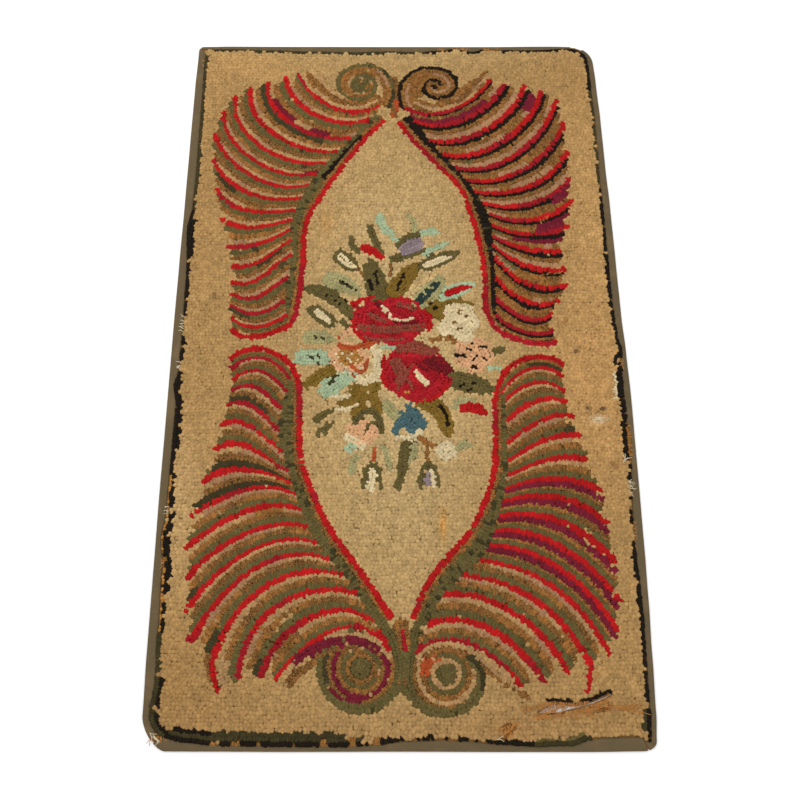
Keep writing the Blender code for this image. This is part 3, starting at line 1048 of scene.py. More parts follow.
# Topmost first: each motif takes what room those before it left
BOUQUET = (
    # stamens, seeds and veins
    *strokes(D.IVORY, 7, ((-34, 101), (-22, 92), (-15, 82), (-14, 72), (0, 69), (14, 67), (30, 71)),
        ((-30, 92), (-20, 84))),
    Stroke(D.IVORY, 13, ((36, -42), (48, -62), (64, -73)), B),
    Stroke(D.GOLD, 8, ((14, -90), (26, -91))),
    *strokes(D.BLACK, 5, ((150, 15), (157, 18)), ((141, 4), (149, 2)), ((168, 10), (186, 7)),
        ((120, -13), (132, -10), (140, -16)), ((152, -22), (162, -12)), ((174, -16), (182, -24)),
        ((149, -38), (158, -37)), ((0, 136), (6, 155), (15, 175)), ((-45, 181), (-40, 150)),
        ((-60, 162), (-52, 135)), ((85, -115), (96, -136), (98, -162))),
    *strokes(D.DARK_OLIVE, 5, ((-122, 160), (-116, 152)), ((-100, 148), (-94, 142)),
        ((-172, 34), (-164, 28)), ((-156, 30), (-148, 24)), ((-178, -12), (-172, -18)),
        ((-164, -8), (-158, -14)), ((-164, -24), (-158, -28)), ((-138, -72), (-126, -66)),
        ((-132, -58), (-116, -56))),
    *strokes(D.BLACK, 5, ((124, -76), (136, -72)), ((148, -74), (160, -68)), ((140, -86), (152, -84)),
        ((74, 92), (84, 98)), ((66, 104), (74, 108)), ((-149, 128), (-144, 124)),
        ((-137, 125), (-132, 121)), ((-132, 112), (-127, 109)), ((-123, 121), (-119, 117)),
        ((-121, 108), (-116, 105)), ((-109, 112), (-105, 109)), ((-114, 158), (-111, 154)),
        ((-107, 153), (-104, 149)), ((-87, 139), (-84, 135))),
    *strokes(D.BROWN, 5, ((112, 60), (121, 66)), ((140, 72), (148, 80)), ((124, 84), (132, 90)),
        ((124, 48), (134, 50))),
    # first rose
    Stroke(D.MAUVE, 18, ((-81, 53), (-46, 46), (6, 48), (57, 53))),
    *strokes(D.MAUVE, 12, ((-60, 84), (-46, 74), (-23, 65)), ((-2, 105), (19, 101), (38, 94))),
    Stroke(D.MAROON, 12, ((-48, 109), (-33, 101))),
    Stroke(D.MAROON, 8, ((-23, 78), (-4, 65), (42, 61))),
    Stroke(D.OAT, 8, ((-78, 102), (-66, 105))),
    Stroke(D.SCARLET, 9, ((-95, 101), (-72, 116), (-46, 121))),
    *strokes(D.SCARLET, 8, ((-92, 70), (-86, 42), (-65, 22)), ((42, 93), (68, 76), (65, 42))),
    Stroke(D.MAUVE, 9, ((-71, 31), (-35, 24), (16, 25))),
    Bloom((-13, 67), (82, 52), 5, (D.ROSE, D.CRIMSON, D.ROSE), 4, 0.06),
    # second rose
    Stroke(D.MAUVE, 26, ((-2, 4), (34, 7), (79, -6)), B),
    Stroke(D.MAUVE, 26, ((-12, -19), (7, -47), (1, -85)), L),
    Stroke(D.MAUVE, 10, ((32, -30), (20, -52), (30, -84))),
    Stroke(D.GOLD, 8, ((18, -90), (24, -94))),
    Stroke(D.MAROON, 30, ((56, -18), (82, -30), (108, -49)), B),
    Stroke(D.MAROON, 8, ((41, -30), (56, -41), (66, -47))),
    Stroke(D.SCARLET, 8, ((-28, -14), (-30, -47), (-23, -79))),
    Stroke(D.SCARLET, 9, ((101, -68), (85, -95), (55, -111))),
    Bloom((38, -51), (71, 58), 5, (D.ROSE, D.CRIMSON, D.ROSE), -8, 0.07),
    # flowers at the sides
    Stroke(D.RUST, 12, ((-122, 14), (-97, 6), (-71, 11), (-52, 15))),
    *strokes(D.RUST, 9, ((-123, 31), (-118, 29)),
        ((-96, -31), (-85, -41), (-73, -48), (-64, -35), (-62, -19))),
    Stroke(D.PEACH, 16, ((-112, 36), (-95, 42), (-78, 43))),
    Stroke(D.IVORY, 20, ((-52, 9), (-38, -17), (-43, -50), (-64, -68), (-83, -59)), B),
    *strokes(D.IVORY, 6, ((-122, -14), (-119, -15)), ((-114, -5), (-111, -7)),
        ((-104, -15), (-101, -17)), ((-117, -28), (-114, -30)), ((-106, -35), (-103, -36)),
        ((-97, -23), (-94, -24)), ((-94, -6), (-91, -8)), ((-123, -42), (-120, -44)),
        ((-111, -48), (-108, -49)), ((-98, -50), (-95, -51)), ((-83, -19), (-80, -21)),
        ((-78, -38), (-75, -40)), ((-129, -26), (-126, -27)), ((-127, -6), (-124, -7))),
    Stroke(D.GOLD, 8, ((-88, -14), (-78, -26), (-71, -19))),
    Stroke(D.RUST, 6, ((-94, -49), (-87, -56))),
    Bloom((-101, -13), (38, 33), 6, (D.PEACH, D.GOLD, D.TAN), 0, 0.08),
    *strokes(D.IVORY, 16, ((100, 34), (92, 50), (98, 62)), ((126, 30), (142, 26), (156, 36))),
    Bloom((130, 66), (38, 40), 5, (D.IVORY,), 0, 0.10),
    Bloom((155, -8), (40, 38), 5, (D.PEACH,), 0, 0.08),
    Stroke(D.MINT, 8, ((-35, 6), (-15, 8), (5, 6))),
    # leaves
    Stroke(D.MOSS, 40, ((-16, 124), (8, 150), (26, 176), (44, 200)), L),
    Stroke(D.OLIVE, 46, ((-32, 112), (-46, 160), (-62, 212)), L),
    Stroke(D.OLIVE, 28, ((-190, 142), (-135, 122), (-90, 72)), L),
    Stroke(D.SAGE, 38, ((-152, 166), (-110, 152), (-76, 124)), L),
    Stroke(D.SAGE, 30, ((-192, 32), (-160, 30), (-128, 24)), L),
    Stroke(D.MINT, 34, ((-208, -16), (-166, -14), (-132, -20)), L),
    Stroke(D.MINT, 36, ((-153, -94), (-124, -71), (-82, -49)), L),
    Stroke(D.MOSS, 22, ((-188, -78), (-150, -50), (-112, -28)), L),
    Stroke(D.IVORY, 10, ((-148, -92), (-121, -100), (-93, -97))),
    Stroke(D.IVORY, 9, ((-125, -128), (-103, -125), (-77, -114))),
    Stroke(D.MOSS, 18, ((-98, -85), (-68, -80), (-34, -80))),
    Stroke(D.MOSS, 18, ((-76, -82), (-88, -107), (-120, -119)), L),
    Stroke(D.MOSS, 20, ((-68, -80), (-73, -111), (-92, -141)), L),
    Stroke(D.MOSS, 17, ((-50, -80), (-46, -111), (-32, -135)), L),
    *strokes(D.OLIVE, 14, ((-165, -152), (-147, -137), (-126, -126)),
        ((-160, -180), (-144, -167), (-128, -154)), form=L),
    Stroke(D.SAGE, 24, ((-29, -112), (-14, -127), (-1, -146)), B),
    Stroke(D.TEAL, 18, ((40, 104), (62, 128), (92, 160)), L),
    Stroke(D.SAGE, 40, ((38, 98), (70, 132), (102, 170)), L),
    Stroke(D.SCARLET, 14, ((98, 126), (126, 138), (156, 146)), L),
    Stroke(D.MINT, 32, ((90, 120), (126, 138), (166, 150)), L),
    Stroke(D.MOSS, 8, ((100, 110), (130, 112), (162, 102))),
    Stroke(D.MOSS, 32, ((52, 112), (76, 98), (98, 70)), L),
    *strokes(D.TWEED, 8, ((67, 21), (92, 32), (115, 46)), ((92, 32), (111, 21), (128, 11))),
    Stroke(D.OLIVE, 15, ((181, -15), (199, -3), (218, 9)), L),
    Stroke(D.MINT, 10, ((184, -42), (196, -38), (208, -40))),
    Stroke(D.OLIVE, 40, ((100, -60), (146, -72), (198, -86)), L),
    Stroke(D.SCARLET, 22, ((125, -124), (149, -124), (177, -135)), L),
    Stroke(D.SAGE, 24, ((112, -118), (136, -112), (160, -122)), L),
    Stroke(D.MOSS, 36, ((44, -108), (84, -130), (104, -188)), L),
    # flowers and buds below
    Stroke(D.IVORY, 9, ((-2, -184), (28, -184), (50, -168))),
    *strokes(D.BLUE, 12, ((-10, -172), (4, -160), (20, -150)), ((-10, -136), (8, -138), (26, -146)),
        ((20, -118), (28, -132), (36, -146))),
    Bloom((30, -152), (28, 20), 4, (D.BLUE,), -10, 0.18),
    Stroke(D.IVORY, 16, ((-106, -181), (-84, -193), (-64, -209))),
    Stroke(D.MINT, 16, ((-102, -213), (-88, -199))),
    Stroke(D.OLIVE, 12, ((-87, -160), (-73, -137), (-50, -130), (-36, -149), (-32, -175))),
    Stroke(D.OLIVE, 9, ((-64, -171), (-57, -157), (-47, -154))),
    Bloom((-72, -176), (34, 26), 5, (D.PEACH,), 0, 0.12),
    Stroke(D.RUST, 9, ((-45, -206), (-48, -236))),
    Stroke(D.OLIVE, 9, ((-68, -288), (-62, -250), (-50, -240), (-38, -250), (-34, -288))),
    Stroke(D.IVORY, 13, ((-50, -252), (-50, -270), (-56, -292))),
    Stroke(D.OLIVE, 18, ((14, -195), (10, -230), (7, -261), (-3, -291))),
    Stroke(D.SAGE, 16, ((-79, -221), (-88, -241), (-91, -263)), L),
    *strokes(D.SAGE, 13, ((-31, -203), (-20, -223), (-16, -253)), ((35, -197), (32, -218), (22, -237)),
        ((115, -210), (130, -197), (147, -205)), form=L),
    Stroke(D.TWEED, 8, ((42, -181), (56, -196), (58, -232))),
    Stroke(D.TWEED, 7, ((56, -196), (77, -203))),
    Stroke(D.OLIVE, 8, ((42, -288), (48, -250), (61, -240), (74, -250), (80, -288))),
    Stroke(D.LAVENDER, 9, ((58, -256), (58, -284))),
    Stroke(D.IVORY, 9, ((67, -254), (69, -288))),
    Bloom((95, -212), (21, 19), 4, (D.IVORY,), 0, 0.08),
    Stroke(D.SAGE, 9, ((125, -204), (137, -207))),
    # buds above
    Stroke(D.IVORY, 17, ((-123, 220), (-107, 203), (-90, 190)), L),
    Stroke(D.OLIVE, 34, ((-129, 225), (-106, 203), (-82, 184)), L),
    Stroke(D.IVORY, 15, ((-169, 91), (-152, 76), (-135, 60)), L),
    Stroke(D.OLIVE, 32, ((-179, 98), (-154, 76), (-126, 53)), L),
    Stroke(D.OLIVE, 12, ((-115, 70), (-103, 53)), L),
    Stroke(D.IVORY, 16, ((56, 192), (88, 206), (120, 218)), L),
    Stroke(D.OLIVE, 30, ((48, 190), (88, 206), (134, 228)), L),
    Stroke(D.LAVENDER, 30, ((8, 226), (30, 238), (54, 250)), B),
    Stroke(D.OLIVE, 14, ((-14, 208), (20, 216), (56, 232))),
    Stroke(D.OLIVE, 12, ((0, 240), (22, 262), (48, 270))),
    Stroke(D.SCARLET, 18, ((-77, 239), (-50, 229), (-26, 209)), L),
    Stroke(D.OLIVE, 12, ((-98, 264), (-93, 240), (-78, 222)), L),
    Stroke(D.OLIVE, 14, ((-57, 291), (-50, 263), (-37, 233), (-28, 215)), L),
    Stroke(D.MINT, 15, ((-36, 318), (-30, 288), (-14, 272), (2, 252)), L),
    Stroke(D.MINT, 16, ((40, 266), (64, 274), (92, 274)), L),
    Stroke(D.MINT, 12, ((52, 222), (80, 234), (112, 252)), L),
    Stroke(D.SAGE, 12, ((26, 316), (38, 296), (34, 264)), L),
    *strokes(D.BROWN, 6, ((-90, 200), (-82, 186), (-70, 170)), ((-14, 200), (-12, 184), (-16, 168))),
)


# --- Borders, worn places and the plain ground ---


@dataclass(frozen=True)
class EdgeRun:
    """A stretch of the hooked row beside the tape: its side, ends, wool and how broken it is.

    The ends are millimetres along a side, or shares of a corner.
    """

    side: int
    start: float
    end: float
    dye: Dye
    gaps: float
    wide: float = 7.0
    depth: float = 0.0


EDGE_RUNS = tuple(EdgeRun(side, *run) for side, runs in (
    (LEFT, ((-738, -560, D.DARK_OLIVE, 0.05, 8.5), (-735, -640, D.BLACK, 0.3, 7, 8),
        (-560, -260, D.GOLD, 0.5, 4.5), (-560, -260, D.BLACK, 0.14, 8, 4.5),
        (-480, -330, D.BLACK, 0.35, 7, 11), (-260, -40, D.BLACK, 0.08, 7.5),
        (-200, -60, D.BLACK, 0.3, 7, 7), (-20, 40, D.BLACK, 0.1), (80, 225, D.BLACK, 0.08, 7),
        (225, 335, D.BLACK, 0, 8), (225, 315, D.BLACK, 0.1, 7, 6.5),
        (335, 745, D.DARK_OLIVE, 0.12, 5.5))),
    (RIGHT, ((-740, -400, D.BLACK, 0.12, 7), (-400, -290, D.BLACK, 0.75, 6),
        (-290, -150, D.BLACK, 0.3, 6), (-236, -156, D.BLACK, 0.12, 7, 7.5),
        (-150, -38, D.BLACK, 0, 11), (-38, -10, D.BLACK, 0.1, 7, 7.5),
        (-15, 230, D.BLACK, 0.12, 7), (230, 395, D.BLACK, 0.1, 6),
        (395, 640, D.DARK_OLIVE, 0.3, 4.5), (640, 740, D.BLACK, 0.05, 6.5))),
    (TOP_RIGHT, ((0, 1, D.BLACK, 0.05, 6.5),)),
    (BOTTOM_LEFT, ((0, 1, D.DARK_OLIVE, 0.06, 8.5), (0, 1, D.BLACK, 0.2, 8, 8))),
    (RIGHT, ((-738, -700, D.DARK_OLIVE, 0, 8, 8), (-112, -50, D.IVORY, 0.1, 4.5, 9.5))),
    (TOP, ((-430, 60, D.DARK_OLIVE, 0.3, 5), (60, 440, D.BLACK, 0.15, 4.5),
        (178, 195, D.DARK_OLIVE, 0, 8))),
    (BOTTOM, ((-440, -80, D.BLACK, 0.06, 8), (-438, -70, D.DARK_OLIVE, 0.02, 8.5, 7.5),
        (-405, -335, D.BLACK, 0.05, 8.5, 15), (-335, -95, D.DARK_OLIVE, 0, 8.5, 14.5),
        (-80, 0, D.BLACK, 0.2, 7), (0, 190, D.BLACK, 0.55, 6), (180, 232, D.BLACK, 0.1, 7.5),
        (225, 340, D.DARK_OLIVE, 0, 8), (240, 330, D.OLIVE, 0.1, 5.5, 6.5))),
) for run in runs)


@dataclass(frozen=True)
class StainOrShade:
    """A stained or faded place of the ground, or painted shadow beside the tear: centre, reach both
    ways, tint and strength.
    """

    centre: Point
    reach: Point
    tint: Colour
    strength: float

    def weight(self, x: float, y: float) -> float:
        """How strongly it shows at a place."""
        dx, dy = (x - self.centre[0]) / self.reach[0], (y - self.centre[1]) / self.reach[1]
        return self.strength * math.exp(-(dx * dx + dy * dy))


STAINS_AND_SHADE = tuple(StainOrShade(centre, reach, linear(*seen), strength) for centre, reach, seen, strength in (
    ((0, 760), (440, 60), (172, 143, 96), 0.8),
    ((-400, -640), (120, 120), (146, 110, 66), 0.5),
    ((60, -745), (420, 50), (150, 112, 70), 0.45),
    ((-430, 400), (50, 190), (148, 114, 70), 0.4),
    ((380, 700), (70, 60), (150, 114, 70), 0.3),
    # painted shadow along the tear's upper lip; then a darker place round the bald patch
    ((306, -690), (62, 10), (112, 78, 44), 0.55),
    ((192, -730), (26, 24), (132, 92, 50), 0.5),
    ((0, 0), (200, 520), (186, 160, 112), 1),
    ((390, -90), (70, 190), (196, 148, 92), 0.55),
    ((420, 300), (50, 260), (200, 156, 100), 0.4),
    ((-150, 300), (14, 40), (166, 122, 70), 0.6),
    ((-380, 125), (7, 7), (96, 74, 52), 0.9),
    ((365, 0), (6, 6), (60, 48, 38), 0.9),
    ((380, -125), (7, 6), (60, 48, 38), 0.9),
    ((410, -125), (7, 6), (60, 48, 38), 0.9),
    ((398, -148), (14, 7), (214, 200, 168), 0.7),
    ((85, -360), (7, 26), (214, 156, 70), 0.7),
    ((420, -240), (9, 9), (120, 86, 50), 0.7),
    ((-330, 710), (90, 30), (186, 144, 88), 0.35),
    ((-420, -330), (40, 150), (200, 168, 118), 0.4),
))

# The tear: place along X, its middle in Y, half its gap; and the bald patch's outline
TEAR = ((250, -699, 0.6), (262, -696, 4), (276, -692.5, 7.2), (292, -691.5, 5.6),
        (306, -691, 2.4), (322, -689, 1.2), (342, -684, 1.2), (362, -677, 1.2),
        (384, -667, 0.6))
BALD_PATCH = ((178, -723), (190, -714), (209, -718), (209, -731), (196, -740), (181, -748),
              (173, -745), (184, -734))
OUTLINE_SHIFT = -3.3


# Worn spots beside the tape, where the cloth shows: lowest and highest X, lowest and highest Y
WORN_SPOTS = (
    (451, 470, -232, -160), (451, 470, -37, -13), (446, 470, -400, -352), (447, 470, -300, -268),
    (-470, -437, -440, -418), (-470, -437, -340, -322), (-470, -437, -40, -20), (-470, -437, 42, 78),
    (94, 112, 748, 770), (130, 176, 752, 770), (200, 238, 750, 770), (-440, -424, -748, -738),
    (-338, -322, -765, -744), (-300, -280, -765, -745), (-256, -244, -765, -746),
    (-142, -128, -765, -742), (-92, -78, -765, -738), (-48, -32, -765, -738),
)


def in_worn_spot(x: float, y: float) -> bool:
    """Whether a place lies in a worn spot beside the tape."""
    return any(a <= x <= b and c <= y <= d for a, b, c, d in WORN_SPOTS)


def in_tear(x: float, y: float) -> bool:
    """Whether a place lies in the torn strip, where no loops are left.

    Args:
        x: the place's X in millimetres.
        y: its Y.

    Returns:
        True in the strip.
    """
    if not TEAR[0][0] - 4 <= x <= TEAR[-1][0] + 3:
        return False
    middle = RIM.read([row[:2] for row in TEAR], x)
    half = RIM.read([(row[0], row[2]) for row in TEAR], x)
    return abs(y - middle) < half + 4.6


def in_bald_patch(x: float, y: float) -> bool:
    """Whether a place lies in the bald patch.

    Args:
        x: the place's X in millimetres.
        y: its Y.

    Returns:
        True in the patch.
    """
    inside = False
    for (ax, ay), (bx, by) in zip(BALD_PATCH, BALD_PATCH[1:] + BALD_PATCH[:1]):
        if (ay > y) != (by > y) and x < (bx - ax) * (y - ay) / (by - ay) + ax:
            inside = not inside
    return inside


@dataclass(frozen=True)
class Ground:
    """The plain ground: level rows of small loops round the ornament."""

    pitch: float = 7.0
    size: float = 7.5
    gap: float = 4.5
    margin: float = 3.0
    filler: float = 5.6
    grid: float = 2.7
    reach: float = 10.6
    open_turn: float = 2.2
    half_width: int = 470
    half_length: int = 765
    strips: tuple[float, ...] = (-150.0, 150.0)

    def group(self, x: float) -> str:
        """Name of the piece that a ground loop belongs to."""
        if x < self.strips[0]:
            return "pile_ground_left"
        return "pile_ground_middle" if x < self.strips[1] else "pile_ground_right"

    def edge(self) -> np.ndarray:
        """Outline inside which the loops stand, in millimetres on the rug.

        Returns:
            The outline's points.
        """
        points = []
        for walk in RIM.places(0.012)[:-1]:
            inset = RIM.tape_width(walk) + CLEARANCE * MM + self.margin * MM
            x, y = RIM.point(walk, inset)
            points.append((x / MM - OUTLINE_SHIFT, y / MM))
        return np.array(points)

    def inside(self, edge: np.ndarray, x: np.ndarray, y: np.ndarray) -> np.ndarray:
        """Which places lie inside an outline.

        Args:
            edge: the outline's points.
            x: the places' X.
            y: the places' Y.

        Returns:
            True for each place that lies inside.
        """
        result = np.zeros(len(x), bool)
        after = np.roll(edge, -1, axis=0)
        for (ax, ay), (bx, by) in zip(edge, after):
            if ay == by:
                continue
            crosses = (ay > y) != (by > y)
            result ^= crosses & (x < (bx - ax) * (y - ay) / (by - ay) + ax)
        return result

    def hook(self, bed: Bed, edge: np.ndarray) -> None:
        """Hook the ground's rows.

        Args:
            bed: where the loops go.
            edge: the outline to stay inside.
        """
        spots = []
        for j in range(int(2 * self.half_length / self.pitch)):
            y0 = -self.half_length + self.pitch * (j + 0.5)
            start = bed.dice.uniform(0.0, self.pitch)
            for i in range(int(2 * self.half_width / self.pitch) + 1):
                x = -self.half_width + start + self.pitch * i
                sway = 1.6 * math.sin(x / 83.0 + y0 / 140.0) + 0.9 * math.sin(x / 31.0 - y0 / 60.0)
                spots.append((x + bed.dice.uniform(-1.9, 1.9), y0 + sway + bed.dice.uniform(-1.4, 1.4)))
        spots = np.array(spots)
        spots = spots[self.inside(edge, spots[:, 0], spots[:, 1])]
        for x, y in spots:
            self.stand(bed, float(x), float(y), 0.66)

    def stand(self, bed: Bed, x: float, y: float, share: float) -> None:
        """Put one ground loop in."""
        size = self.size * bed.dice.uniform(0.88, 1.14)
        bed.stand(Loop(x, y, bed.dice.uniform(-0.8, 0.8), size, size * 0.95, Dye.OAT,
                       self.group(x), bed.dice.uniform(0.94, 1.06), 0.93), share)

    def fill(self, bed: Bed, edge: np.ndarray, enclosed: bool) -> None:
        """Fill gaps between loops with the wool that stands nearest.

        Args:
            bed: where the loops go.
            edge: the outline to stay inside.
            enclosed: whether only gaps with loops all round them are filled.
        """
        tree = kdtree.KDTree(len(bed.loops))
        for i, loop in enumerate(bed.loops):
            tree.insert((loop.x, loop.y, 0.0), i)
        tree.balance()
        grid_x, grid_y = np.meshgrid(np.arange(-462, 462, self.grid), np.arange(-762, 762, self.grid))
        grid_x, grid_y = grid_x.ravel(), grid_y.ravel()
        keep = self.inside(edge, grid_x, grid_y)
        for x, y in zip(grid_x[keep], grid_y[keep]):
            _, index, distance = tree.find((x, y, 0.0))
            near = bed.loops[index]
            if distance < self.gap or (enclosed and not self.surrounded(tree, x, y)):
                continue
            size = self.filler * bed.dice.uniform(0.9, 1.1)
            bed.stand(Loop(float(x), float(y), near.turn, size, size, near.dye, near.group,
                           near.shade, near.tall * 0.97), 0.62)

    def surrounded(self, tree: kdtree.KDTree, x: float, y: float) -> bool:
        """Whether loops stand all round a place, with no wide open side.

        Args:
            tree: the loops' places.
            x: the place's X.
            y: its Y.

        Returns:
            True where no gap between the directions of the loops near it is wide.
        """
        angles = sorted(math.atan2(spot.y - y, spot.x - x)
                        for spot, _, _ in tree.find_range((x, y, 0.0), self.reach))
        if len(angles) < 4:
            return False
        turns = [b - a for a, b in zip(angles, angles[1:] + [angles[0] + 2 * math.pi])]
        return max(turns) < self.open_turn


# --- Finishes ---


class Graph:
    """A small helper to lay out shader or geometry nodes."""

    def __init__(self, tree: NodeTree) -> None:
        """Keep the tree that nodes are added to."""
        self.tree = tree

    def add(self, kind: str, **values: object) -> Node:
        """Add a node.

        Args:
            kind: the node's type name.
            **values: properties by name.

        Returns:
            The new node.
        """
        node = self.tree.nodes.new(kind)
        for name, value in values.items():
            setattr(node, name, value)
        return node

    def give(self, socket: NodeSocket, value: object) -> None:
        """Give an input what it takes.

        Args:
            socket: the input.
            value: another node's output, a colour, or a plain value. None leaves the input alone.
        """
        if isinstance(value, NodeSocket):
            self.tree.links.new(value, socket)
        elif value is not None:
            socket.default_value = (*value, 1.0) if isinstance(value, tuple) else value

    def give_all(self, node: Node, **values: object) -> bpy_prop_collection:
        """Give a node's inputs what they take.

        Args:
            node: the node.
            **values: an input's name, with _ for a space, and what it takes.

        Returns:
            The node's outputs.
        """
        for name, value in values.items():
            self.give(node.inputs[name.replace("_", " ")], value)
        return node.outputs

    def math(self, operation: str, first: object, second: object = None) -> NodeSocket:
        """A Math node.

        Args:
            operation: what it does.
            first: number or socket.
            second: number or socket.

        Returns:
            Its output.
        """
        node = self.add("ShaderNodeMath", operation=operation)
        self.give(node.inputs[0], first)
        self.give(node.inputs[1], second)
        return node.outputs[0]

    def mix(self, share: object, first: object, second: object,
            blend: str = "MIX") -> NodeSocket:
        """A colour Mix node.

        Args:
            share: number or socket, the second colour's share.
            first: colour or socket.
            second: colour or socket.
            blend: how the two are mixed.

        Returns:
            The mixed colour.
        """
        node = self.add("ShaderNodeMix", data_type="RGBA", blend_type=blend)
        for index, value in ((0, share), (6, first), (7, second)):
            self.give(node.inputs[index], value)
        return node.outputs[2]

    def ramp(self, value: NodeSocket, low: float, high: float,
             to_low: float = 0.0, to_high: float = 1.0) -> NodeSocket:
        """A Map Range node, held within its ends.

        Args:
            value: what it maps.
            low: value that becomes to_low.
            high: value that becomes to_high.
            to_low: one end.
            to_high: the other end.

        Returns:
            Its output.
        """
        node = self.add("ShaderNodeMapRange", clamp=True)
        for socket, number in zip(node.inputs[:5], (value, low, high, to_low, to_high)):
            self.give(socket, number)
        return node.outputs[0]

    def noise(self, place: NodeSocket, scale: object, detail: float = 2.0,
              roughness: float = 0.55) -> NodeSocket:
        """A Noise Texture's value."""
        return self.give_all(self.add("ShaderNodeTexNoise"), Vector=place, Scale=scale,
                             Detail=detail, Roughness=roughness)["Fac"]

    def bump(self, height: NodeSocket, strength: float,
             distance: float) -> NodeSocket:
        """A Bump node's normal."""
        return self.give_all(self.add("ShaderNodeBump"), Strength=strength, Distance=distance,
                             Height=height)["Normal"]

    def fibres(self, place: NodeSocket, size: float) -> bpy_prop_collection:
        """The outputs of the fibre group, for fibres of a size."""
        return self.give_all(self.add("ShaderNodeGroup", node_tree=fibre_group()), Vector=place,
                             Fibre_Size=size)


def new_group(name: str, kind: str, inputs: Sequence[tuple], outputs: Sequence[tuple[str, str]]
              ) -> tuple[Graph, Node, Node]:
    """A node group with named sockets.

    Args:
        name: its name.
        kind: Shader or Geometry.
        inputs: name, socket type and, where it has one, default of each input.
        outputs: name and socket type of each output.

    Returns:
        Its graph, its input node and its output node.
    """
    tree = bpy.data.node_groups.new(name, kind + "NodeTree")
    for way, sockets in (("INPUT", inputs), ("OUTPUT", outputs)):
        for label, holds, *value in sockets:
            socket = tree.interface.new_socket(label, in_out=way, socket_type="NodeSocket" + holds)
            if value:
                socket.default_value = value[0]
    graph = Graph(tree)
    return graph, graph.add("NodeGroupInput"), graph.add("NodeGroupOutput")


def fibre_group() -> NodeTree:
    """Fibres of a woollen or jute cloth: a mask of flecks, a height and a slow change of shade.

    Returns:
        The group, made once.
    """
    found = bpy.data.node_groups.get("cloth_fibres")
    if found:
        return found
    graph, start, end = new_group(
        "cloth_fibres", "Shader", (("Vector", "Vector"), ("Fibre Size", "Float", 0.0011)),
        (("Flecks", "Float"), ("Height", "Float"), ("Shade", "Float")))
    place = start.outputs["Vector"]
    fine = graph.noise(place, graph.math("DIVIDE", 1.0, start.outputs["Fibre Size"]), 2.5, 0.65)
    coarse = graph.noise(place, 38.0, 3.0, 0.5)
    graph.give_all(end, Flecks=graph.ramp(fine, 0.50, 0.60), Height=fine,
                   Shade=graph.ramp(coarse, 0.3, 0.7))
    return graph.tree


def new_finish(name: str) -> tuple[Material, Graph, Node, NodeSocket]:
    """A new material.

    Args:
        name: its name.

    Returns:
        The material, its graph, its shader and the Object coordinates.
    """
    material = bpy.data.materials.new(name)
    material.use_nodes = True
    graph = Graph(material.node_tree)
    place = graph.add("ShaderNodeTexCoord").outputs["Object"]
    return material, graph, material.node_tree.nodes["Principled BSDF"], place


@dataclass(frozen=True)
class WoolFinish:
    """Strips of dyed woollen cloth, a little matted on top, with painted shade darkening each loop
    towards its foot, between its neighbours.
    """

    name: str = "wool_pile"
    fibre: float = 1.2 * MM
    # painted shade: a loop's colour falls from full at the high height to the pit share at the low
    # height
    low: float = 4.2 * MM
    high: float = 7.4 * MM
    pit_shade: float = 0.8
    light_fleck: Colour = linear(226, 178, 104)
    dark_fleck: Colour = linear(66, 42, 26)

    def build(self) -> Material:
        """Make the material.

        Returns:
            The material, whose colour comes from each loop's own dye.
        """
        material, graph, shader, place = new_finish(self.name)
        dye = graph.add("ShaderNodeAttribute", attribute_name="dye").outputs["Color"]
        tweed = graph.add("ShaderNodeAttribute", attribute_name="fleck").outputs["Fac"]
        fibres = graph.fibres(place, self.fibre)
        depth = graph.give_all(graph.add("ShaderNodeSeparateXYZ"), Vector=place)["Z"]
        light = graph.mix(graph.math("MULTIPLY", fibres["Flecks"], tweed), dye,
                          graph.mix(0.55, dye, self.light_fleck))
        dark = graph.math("MULTIPLY", graph.ramp(graph.noise(place, 1500.0, 1.0), 0.56, 0.64), tweed)
        wool = graph.mix(graph.math("MULTIPLY", dark, 0.6), light, self.dark_fleck)
        # painted shade between the loops, darker towards each loop's foot, times the cloth's slow random
        # change of tone
        painted_shade_tone = graph.math("MULTIPLY", graph.ramp(depth, self.low, self.high, self.pit_shade, 1.0),
                          graph.ramp(fibres["Shade"], 0.0, 1.0, 0.93, 1.05))
        painted_shade_grey = graph.give_all(graph.add("ShaderNodeCombineColor"), Red=painted_shade_tone, Green=painted_shade_tone, Blue=painted_shade_tone)
        graph.give_all(shader, Base_Color=graph.mix(1.0, wool, painted_shade_grey[0], "MULTIPLY"),
                       Roughness=graph.ramp(fibres["Height"], 0.3, 0.7, 0.86, 1.0),
                       Normal=graph.bump(fibres["Height"], 0.7, 0.5 * MM), Specular_IOR_Level=0.05)
        return material


